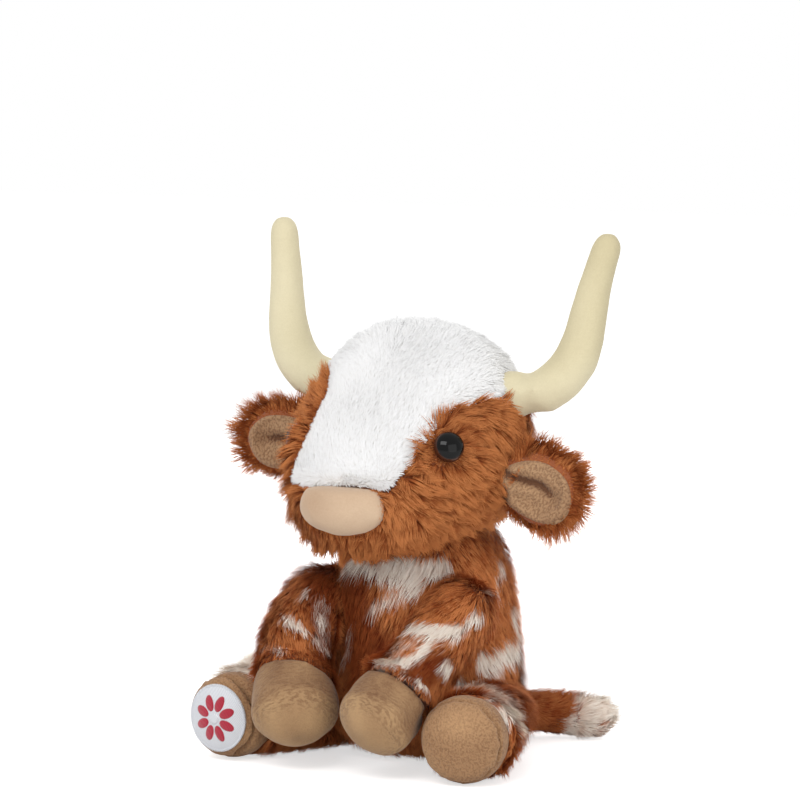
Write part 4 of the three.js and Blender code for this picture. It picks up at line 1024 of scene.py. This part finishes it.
ARM_PATCHES = {
    "left": [
        ((30, -60, 68), (42, -60, 66), 3.4), ((42, -60, 66), (49, -52, 66), 3.8), ((49, -52, 66), (54, -37, 71), 2.2),
        ((54, -36, 72), (50, -22, 84), 0.8, 0.8), ((20, -81, 49), (34, -74, 55), 3.0),
        ((34, -74, 55), (43, -65, 60), 1.8), ((31, -82, 48), (37, -81, 44), 3.4), ((49, -60, 51), (50, -58, 49), 2.4),
        ((43, -75, 43), (45, -73, 41), 2.2), ((58, -40, 60), (60, -34, 52), 2.4),
        ((26, -70, 60), (44, -58, 60), 5, 0.3),
    ],
    "right": [
        ((-40, -56, 66), (-31, -64, 65), 2.4), ((-31, -64, 65), (-26, -65, 63), 3.2),
        ((-34, -47, 80), (-32, -50, 76), 0.4, 0.6), ((-36, -72, 54), (-27, -77, 53), 1.8, 0.7),
        ((-25, -48, 72), (-18, -56, 58), 5.0, 0.27), ((-21, -52, 70), (-20, -54, 66), 0.8, 0.7),
        ((-20, -61, 58), (-16, -56, 52), 2.0, 0.5), ((-52, -52, 50), (-50, -44, 60), 3.6),
    ],
}
# Painted shade: deep patches where shade falls on the arms, under the chin on the right one.
ARM_PAINTED_SHADE = {
    "left": [((47, -62, 54), (41, -74, 47), 7)],
    "right": [((-28, -40, 86), (-22, -50, 70), 10), ((-20, -52, 66), (-16, -60, 50), 8)],
}
ARM_HOOF = np.array([23.6, -72.5, 30.5]) * mm
HOOF_NAP = {"left": ((-0.05, -0.86, -0.5), 60), "right": ((0.45, -0.55, -0.7), 69)}  # its pole, and degrees from it
for side, word in ((1, "left"), (-1, "right")):
    shoulder = np.array(SHOULDER) * mm * [side, 1, 1]
    hoof_at = ARM_HOOF * [side, 1, 1]
    down_arm = unit(hoof_at - shoulder)
    sleeve = sewn("arm_cloth_" + word, ("arm_sleeve_" + word,), 1.5 * mm, 8)
    places, out = points_of(sleeve), normals_of(sleeve)
    by_thigh = clearance(places, search_tree("leg_sleeve_" + word))
    pile = np.minimum(sleeve_pile(places), 0.6 + 0.4 * rise(by_thigh, 0, 5 * mm))
    to_hoof = clearance(places, search_tree("arm_hoof_" + word))
    pile = evened(sleeve, pile, 3) * rise(to_hoof, 0.2 * mm, 1.2 * mm)
    crest = np.array([side * 34, -4, 104]) * mm  # the pile fans out from behind the shoulder
    flow = 0.4 * down_arm + unit(places - crest)
    comb = combed(out, flow, places, 101 + side)
    white = dye_and_painted_light_patches(places, comb, ARM_PATCHES[word], 13)
    paint(sleeve, pile=pile, white=white, deep=dye_and_painted_light_patches(places, comb, ARM_PAINTED_SHADE[word], 18, 5 * mm), comb=comb)
    sink = PILE_DEPTH * np.maximum(pile, 0.3) * (0.3 + 0.7 * rise(to_hoof, 0, 7 * mm))
    fringe = 1 - (0.4 if side > 0 else 0.6) * (1 - rise(to_hoof, 1 * mm, 8 * mm))  # it is trimmed at the seam
    sleeve.data.attributes["pile"].data.foreach_set("value", (pile * fringe).astype(np.float32))
    if side < 0:  # the right arm rests on the thigh, which spreads it outwards
        sink -= 3.2 * mm * spread(places, out, [-0.85, -0.53, 0], 62, 20)
    relaid(move(sleeve, places - out * sink[:, None]))
    finished(sleeve, body_cloth, word + "_arm", "russet_fur", 0.75, "arm_sleeve_" + word)
    grown("arm_pile_" + word, sleeve, word + "_arm", "russet_fur", Patch=0, Seed=103 + side, **BODY_PILE)

    # Below a line across the hoof the nap lies down smooth and light, and above it up and dark. At the line it
    # breaks open into ridges that fan out.
    hoof = sewn("arm_hoof_plush_" + word, ("arm_hoof_" + word,), 2.0 * mm, 3)
    stuffed(hoof, 1 - rise(clearance(points_of(hoof), search_tree("arm_sleeve_" + word)), -0.5 * mm, 1.5 * mm))
    places = points_of(hoof)
    pole, break_at = HOOF_NAP[word]
    pole = unit(np.array(pole))
    across_hoof = unit(np.cross(pole, [0, 0, 1]))
    ways = unit(places - hoof_at)
    from_pole = np.degrees(np.arccos(np.clip(ways @ pole, -1, 1))) + 3 * wander(places, 8 * mm, 105)
    flat_part = np.stack([ways @ across_hoof, ways @ np.cross(pole, across_hoof)], 1)
    cloth = np.column_stack([np.radians(from_pole), unit(flat_part)]) * 19 * mm
    ridge = np.exp(-(((from_pole - break_at + 9) / 13) ** 2))
    dark = rise(from_pole, break_at - 6, break_at + 9)
    nap = 0.86 - 0.42 * dark + 0.1 * wander(places, 10 * mm, 106)
    lump = 0.9 * np.exp(-(((from_pole - break_at) / 14) ** 2)) - 0.8 * rise(from_pole, break_at, break_at + 30)
    lump += 1.3 * (side < 0)  # the right one is fuller
    move(hoof, places + ways * (lump * mm)[:, None])
    paint(hoof, nap=nap, broken=0.18 + 0.75 * ridge + 0.2 * dark, cloth=cloth)
    finished(hoof, tan_plush, word + "_arm", "tan_plush", 0.9, "arm_hoof_" + word)


# --- Legs ----------------------------------------------------------------------------------------------------
# Stuffed sleeves of the same fur, splayed forward, with a tan band and a padded round sole sewn in at the end.
foot_plush = short_pile("tan_velboa_brushed_up", "#795437", "#C0966C", 0.85, 0.8, 0.4, **VELBOA)
LEG_PATCHES = {
    # On the left thigh the part-level pale patches are partly the fur's own pale streaks and partly painted light that
    # lifts the shade between the arm and the thigh.
    "left": [
        ((75, -49, 29), (74, -42, 12), 4.0), ((60, -43, 40), (47, -38, 40), 1.6), ((56, -22, 42), (72, -30, 35), 2.2),
        ((70, -40, 38), (76, -30, 30), 1.4), ((50, -40, 41), (70, -34, 36), 10, 0.42),
        ((58, -42, 40), (68, -42, 35), 4.5, 0.6), ((50, -52, 40), (66, -50, 35), 4.5, 0.5),
        ((66, 0, 30), (60, 8, 22), 5.0),
    ],
    "right": [
        ((-70, -42, 36), (-50, -46, 44), 13), ((-74, -48, 32), (-52, -50, 36), 7),
        ((-76, -54, 30), (-46, -56, 40), 9), ((-60, -6, 36), (-66, -14, 28), 5.5),
    ],
}
ANKLE = {"left": (57.5, -56.5, 19.8), "right": (-62.5, -56.5, 19.8)}
for side, word in ((1, "left"), (-1, "right")):
    hip = np.array(HIP) * mm * [side, 1, 1]
    ankle = np.array(ANKLE[word]) * mm
    sleeve = sewn("leg_cloth_" + word, ("leg_sleeve_" + word,), 1.5 * mm, 8)
    places, out = points_of(sleeve), normals_of(sleeve)
    pile = np.minimum(sleeve_pile(places), 0.3 + 0.7 * rise(places[:, 2], 0.5 * mm, 7 * mm))
    to_cuff = clearance(places, search_tree("leg_cuff_" + word))
    fringe = 0.55 if side > 0 else 0.75
    pile = evened(sleeve, pile, 3) * rise(to_cuff, 0.2 * mm, 1.2 * mm)
    pile *= fringe + (1 - fringe) * rise(to_cuff, 1 * mm, 8 * mm)
    crest = np.array([side * 32, -26, 44]) * mm
    flow = 0.5 * unit(ankle - hip) + unit(places - crest)
    comb = combed(out, flow, places, 111 + side)
    paint(sleeve, pile=pile, white=dye_and_painted_light_patches(places, comb, LEG_PATCHES[word], 15), comb=comb)
    sink = PILE_DEPTH * np.maximum(pile, 0.3) * (0.3 + 0.7 * rise(to_cuff, 0, 7 * mm))
    if side < 0:  # a tuft of it stands up behind the cuff
        sink -= 8.0 * mm * swell(places, (-61, -40, 37), 12)
    if side > 0:  # the left thigh spreads outwards where it carries the seat
        sink -= 3.2 * mm * spread(places, out, [0.85, 0.53, 0], 26, 16)
    relaid(move(sleeve, places - out * sink[:, None]))
    finished(sleeve, body_cloth, word + "_leg", "russet_fur", 0.75, "leg_sleeve_" + word)
    grown("leg_pile_" + word, sleeve, word + "_leg", "russet_fur", Patch=0, Seed=113 + side, **BODY_PILE)

    for part, node_name, fill in (("leg_cuff_plush_", "leg_cuff_", 0.7), ("leg_sole_plush_", "leg_sole_", 0.9)):
        foot = sewn(part + word, (node_name + word,), 1.5 * mm, 6)
        next_to = "leg_sole_" if node_name == "leg_cuff_" else "leg_cuff_"
        stuffed(foot, 1 - rise(clearance(points_of(foot), search_tree(next_to + word)), -0.5 * mm, 1.5 * mm))
        places = points_of(foot)
        nap = 0.62 + 0.12 * wander(places, 12 * mm, 115) - 0.08 * (node_name == "leg_cuff_")
        paint(foot, nap=nap, broken=np.full(len(places), 0.7), cloth=places)
        finished(foot, foot_plush, word + "_leg", "tan_plush", fill, node_name + word)


# --- Foot badge ----------------------------------------------------------------------------------------------
# A round embroidered badge on the right sole: white satin stitch with a merrowed edge and a plain red daisy.
sole_way = np.array([-math.sin(math.radians(5)), -math.cos(math.radians(5)), 0])
sole_right = np.cross(sole_way, [0, 0, 1])
badge_at = np.array(ANKLE["right"]) * mm + sole_way * 20.6 * mm
BADGE_RADIUS, PETALS, STITCHES, THREAD = 14.8 * mm, 8, 96, 0.7 * mm


def embroidery(name, dark, light, across):
    """Rayon embroidery thread in satin stitch: 0.4 mm threads side by side, drawn wider so that they show."""
    made, tree, inputs = material(name, Roughness=0.45, Sheen_Weight=0.3, Specular_IOR_Level=0.4)
    place = add(tree, "TexCoord").outputs["Object"]
    laid = add(tree, "Mapping", {"Vector": place, "Rotation": (0, math.radians(across), 0)})
    thread = add(
        tree, "TexWave",
        {"Vector": laid, "Scale": 0.314 / THREAD, "Distortion": 1.2, "Detail": 1.0, "Detail Scale": 2.0},
    )
    # Painted sheen and shade: each thread is painted lighter on its crest and darker between the threads, with its
    # relief.
    colour = add(tree, "Mix", {"Factor": thread, "A": linear(dark), "B": linear(light)}, data_type="RGBA")
    bump = add(tree, "Bump", {"Height": thread, "Strength": 0.6, "Distance": 0.25 * mm})
    feed(tree, inputs, colour.outputs[2], bump.outputs[0])
    return made


white_thread = embroidery("rayon_satin_stitch_white", "#C9CCD4", "#EEF0F4", 35)
red_thread = embroidery("rayon_satin_stitch_red", "#8F0A26", "#C8153A", -20)
sole_tree = tree_of(bpy.data.objects["leg_sole_plush_right"])


def on_sole(across, up, lift):
    """A point of the badge: across and up from its middle, laid on the sole and lifted off it."""
    start = badge_at + sole_right * across + np.array([0, 0, 1]) * up + sole_way * 20 * mm
    hit = sole_tree.ray_cast(Vector(start), Vector(-sole_way))[0]
    return (hit if hit else Vector(badge_at)) + Vector(sole_way) * lift


def padded_disc(name, middle, radius, lift, height, finish, sides=48, rings=7, along=(1, 0), narrow=1.0):
    """A low dome of satin stitch, laid on the sole. It is narrower across than along."""

    def spot(r, i):
        a, b = r * math.cos(2 * math.pi * i / sides), r * narrow * math.sin(2 * math.pi * i / sides)
        return middle[0] + a * along[0] - b * along[1], middle[1] + a * along[1] + b * along[0]

    rows = []
    for ring in range(rings + 1):
        r = radius * math.sin(math.pi / 2 * ring / rings)
        up = lift + height * math.cos(math.pi / 2 * ring / rings) ** 0.6
        rows.append([on_sole(*spot(r, i), up) for i in range(sides if ring else 1)])
    rows.append([on_sole(*spot(radius, i), -0.3 * mm) for i in range(sides)])
    rows.append([on_sole(*middle, -0.3 * mm)])
    piece = ringed(name, rows, sides)
    finished(piece, finish, "right_leg", "embroidery", 0)
    return piece


badge = padded_disc("badge_ground", (0, 0), BADGE_RADIUS, 0.9 * mm, 0.3 * mm, white_thread)
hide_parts("foot_patch")
for i in range(PETALS):
    turned = math.radians(22.5 + 360 / PETALS * i)
    outward = np.array([math.cos(turned), math.sin(turned)])
    padded_disc(
        f"badge_petal_{i}", tuple(7.2 * mm * outward), 3.9 * mm, 1.0 * mm, 0.7 * mm, red_thread, 28, 4, outward, 0.58
    )
padded_disc("badge_flower_middle", (0, 0), 2.6 * mm, 1.2 * mm, 0.8 * mm, white_thread, 24, 4)
# The merrowed edge: slanted stitches round the badge, each a short rounded bar.
tree, asked = node_tree(
    "merrowed_edge", Line="Geometry", Stitches="Int", Thickness="Float", Length="Float", Finish="Material"
)
line = add(tree, "GeometryNodeMeshToCurve", {"Mesh": asked["Line"]})
spots = add(tree, "GeometryNodeCurveToPoints", {"Curve": line, "Count": asked["Stitches"]})
stitch = add(tree, "GeometryNodeMeshUVSphere", {"Segments": 6, "Rings": 4, "Radius": 0.5})
size = add(tree, "CombineXYZ", (asked["Length"], asked["Thickness"], asked["Thickness"]))
stitch = add(tree, "GeometryNodeTransform", {"Geometry": stitch, "Scale": size, "Rotation": (0, 0, 0.35)})
laid = add(
    tree, "GeometryNodeInstanceOnPoints",
    {"Points": spots.outputs["Points"], "Instance": stitch, "Rotation": spots.outputs["Rotation"]},
)
solid_edge = add(tree, "GeometryNodeRealizeInstances", {"Geometry": laid})
smooth_edge = add(tree, "GeometryNodeSetShadeSmooth", {"Geometry": solid_edge, "Shade Smooth": True})
finished_edge = add(tree, "GeometryNodeSetMaterial", {"Geometry": smooth_edge, "Material": asked["Finish"]})
add(tree, "NodeGroupOutput", {"Mesh": finished_edge})
loop = bpy.data.meshes.new("badge_edge_line")
corners = 64
turns = [2 * math.pi * i / corners for i in range(corners)]
edge_radius = BADGE_RADIUS - 0.4 * mm
loop.from_pydata(
    [on_sole(edge_radius * math.cos(a), edge_radius * math.sin(a), 0.8 * mm) for a in turns],
    [(i, (i + 1) % corners) for i in range(corners)],
    [],
)
edge_sizes = {"Stitches": STITCHES, "Thickness": 1.1 * mm, "Length": 2.6 * mm, "Finish": white_thread}
edge = new_piece("badge_merrowed_edge", made_on(loop, "merrowed_edge", edge_sizes))
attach(edge, "right_leg")


# --- Tail ----------------------------------------------------------------------------------------------------
# A lightly filled tube of russet fur with an end of longer cream-white fur. It lies on the floor to the cow's left.
tail_way = unit(np.array([51, 27, 0.0]))
TAIL_DEPTH = 3.6 * mm  # how far the backing lies under the form
for name, node_name, slot_name, seed in (
    ("tail_cloth", "tail_sleeve", "russet_fur", 121),
    ("tail_end_cloth", "tail_tip", "white_fur", 122),
):
    tube = sewn(name, (node_name,), 1.3 * mm, 6)
    places, out = points_of(tube), normals_of(tube)
    hidden = clearance(places, torso_tree)
    pile = rise(hidden, -11 * mm, -9 * mm) * (0.5 + 0.5 * rise(hidden, -1 * mm, 3 * mm))
    pile = np.minimum(pile, 0.3 + 0.7 * rise(places[:, 2], 0.5 * mm, 5 * mm))
    other = search_tree("tail_tip" if node_name == "tail_sleeve" else "tail_sleeve")
    to_seam = clearance(places, other)
    pile = evened(tube, pile, 2) * rise(to_seam, 0.2 * mm, 1 * mm)
    comb = combed(out, tail_way, places, seed, 0.5, 16 * mm)
    far = np.array(TAIL_ROOT) + tail_way * 90
    bare = [(np.array(TAIL_ROOT) + tail_way * 50, far, 11), (np.array([8, 43, 6]) + tail_way * 43, far - [0, 0, 6], 9)]
    white = dye_and_painted_light_patches(places, comb, bare, seed)
    if node_name == "tail_tip":
        low = rise(6 * mm - places[:, 2] + 3 * mm * wander(places, 12 * mm, 5), 0, 6 * mm)  # it is duller by the floor
        white = np.clip(white - 0.4 * low, 0, 1)
    paint(tube, pile=pile, white=white, deep=np.full(len(places), 0.55), comb=comb)  # dyed deeper than the body
    sink = TAIL_DEPTH * np.maximum(pile, 0.3) * (0.3 + 0.7 * rise(to_seam, 0, 6 * mm))
    move(tube, places - out * sink[:, None])
    finished(tube, body_cloth, "tail", slot_name, 0.5, node_name)
    grown(name.replace("cloth", "pile"), tube, "tail", slot_name, Patch=0, Seed=seed, **dict(BODY_PILE, Length_mm=7.0))


# --- Floor, light and camera ---------------------------------------------------------------------------------
# A plain pale floor and soft light from the front and above, at which a colour shows about as it is written.
floor_mesh = bpy.data.meshes.new("floor")
half = 4
floor_mesh.from_pydata([(-half, -half, 0), (half, -half, 0), (half, half, 0), (-half, half, 0)], [], [(0, 1, 2, 3)])
floor = new_piece("floor", floor_mesh)
floor_paper = bpy.data.materials.new("matt_white_paper")
world = bpy.data.worlds.new("studio")
for backdrop in (floor_paper, world):
    backdrop.use_nodes = True
    tree = backdrop.node_tree
    tree.nodes.clear()
    seen = add(tree, "LightPath").outputs  # the camera, metal and glass see plain white
    shown = add(tree, "Math.MAXIMUM", (seen["Is Camera Ray"], seen["Is Glossy Ray"]))
    shown = add(tree, "Math.MAXIMUM", (shown, seen["Is Transmission Ray"]))
    if backdrop == world:
        level = add(tree, "MapRange", {"Value": shown, "To Min": 0.66, "To Max": 1.0})
        sky = add(tree, "Background", {"Color": (1, 1, 1, 1), "Strength": level})
        add(tree, "OutputWorld", {"Surface": sky})
    else:
        glow_level = add(tree, "Math.MULTIPLY", (shown, 0.62))
        matt = add(tree, "BsdfDiffuse", {"Color": (0.86, 0.86, 0.86, 1)})
        glow = add(tree, "Emission", {"Color": (1, 1, 1, 1), "Strength": glow_level})
        both = add(tree, "AddShader", (matt, glow))
        add(tree, "OutputMaterial", {"Surface": both})
floor_mesh.materials.append(floor_paper)
bpy.context.scene.world = world

azimuth, elevation = math.radians(32), math.radians(7)  # where the photo was taken from
level = math.cos(elevation)
back = Vector((math.sin(azimuth) * level, -math.cos(azimuth) * level, math.sin(elevation)))
right = Vector((math.cos(azimuth), math.sin(azimuth), 0))
over = back.cross(right)
middle = Vector((0, 0, 110 * mm))


def area_light(name, offset, width, height, watts):
    """A soft box that looks at the cow."""
    lamp = bpy.data.lights.new(name, "AREA")
    lamp.shape, lamp.size, lamp.size_y, lamp.energy = "RECTANGLE", width, height, watts
    holder = bpy.data.objects.new(name, lamp)
    holder.location = middle + offset
    holder.rotation_euler = (-offset).to_track_quat("-Z", "Y").to_euler()
    bpy.context.scene.collection.objects.link(holder)


area_light("key_soft_box", back * 1.0 - right * 0.35 + over * 0.7, 0.8, 0.4, 5.8)
area_light("fill_soft_box", back * 0.95 + right * 0.6 + over * 0.05, 0.9, 0.9, 2.9)
area_light("rear_soft_box", over * 0.55 - back * 1.1, 1.2, 1.2, 7.0)

CAMERA_AWAY = 2.0
lens = bpy.data.cameras.new("camera")
lens.sensor_width, lens.lens = 36, 198
lens.clip_start, lens.clip_end = 0.05, 30
camera = bpy.data.objects.new("camera", lens)
bpy.context.scene.collection.objects.link(camera)
camera.location = middle + back * CAMERA_AWAY
aim = middle - right * 0.0118 + over * 0.0505
camera.rotation_mode = "QUATERNION"
camera.rotation_quaternion = (aim - camera.location).to_track_quat("-Z", "Y")
bpy.context.scene.camera = camera
bpy.context.scene.view_settings.view_transform = "Standard"
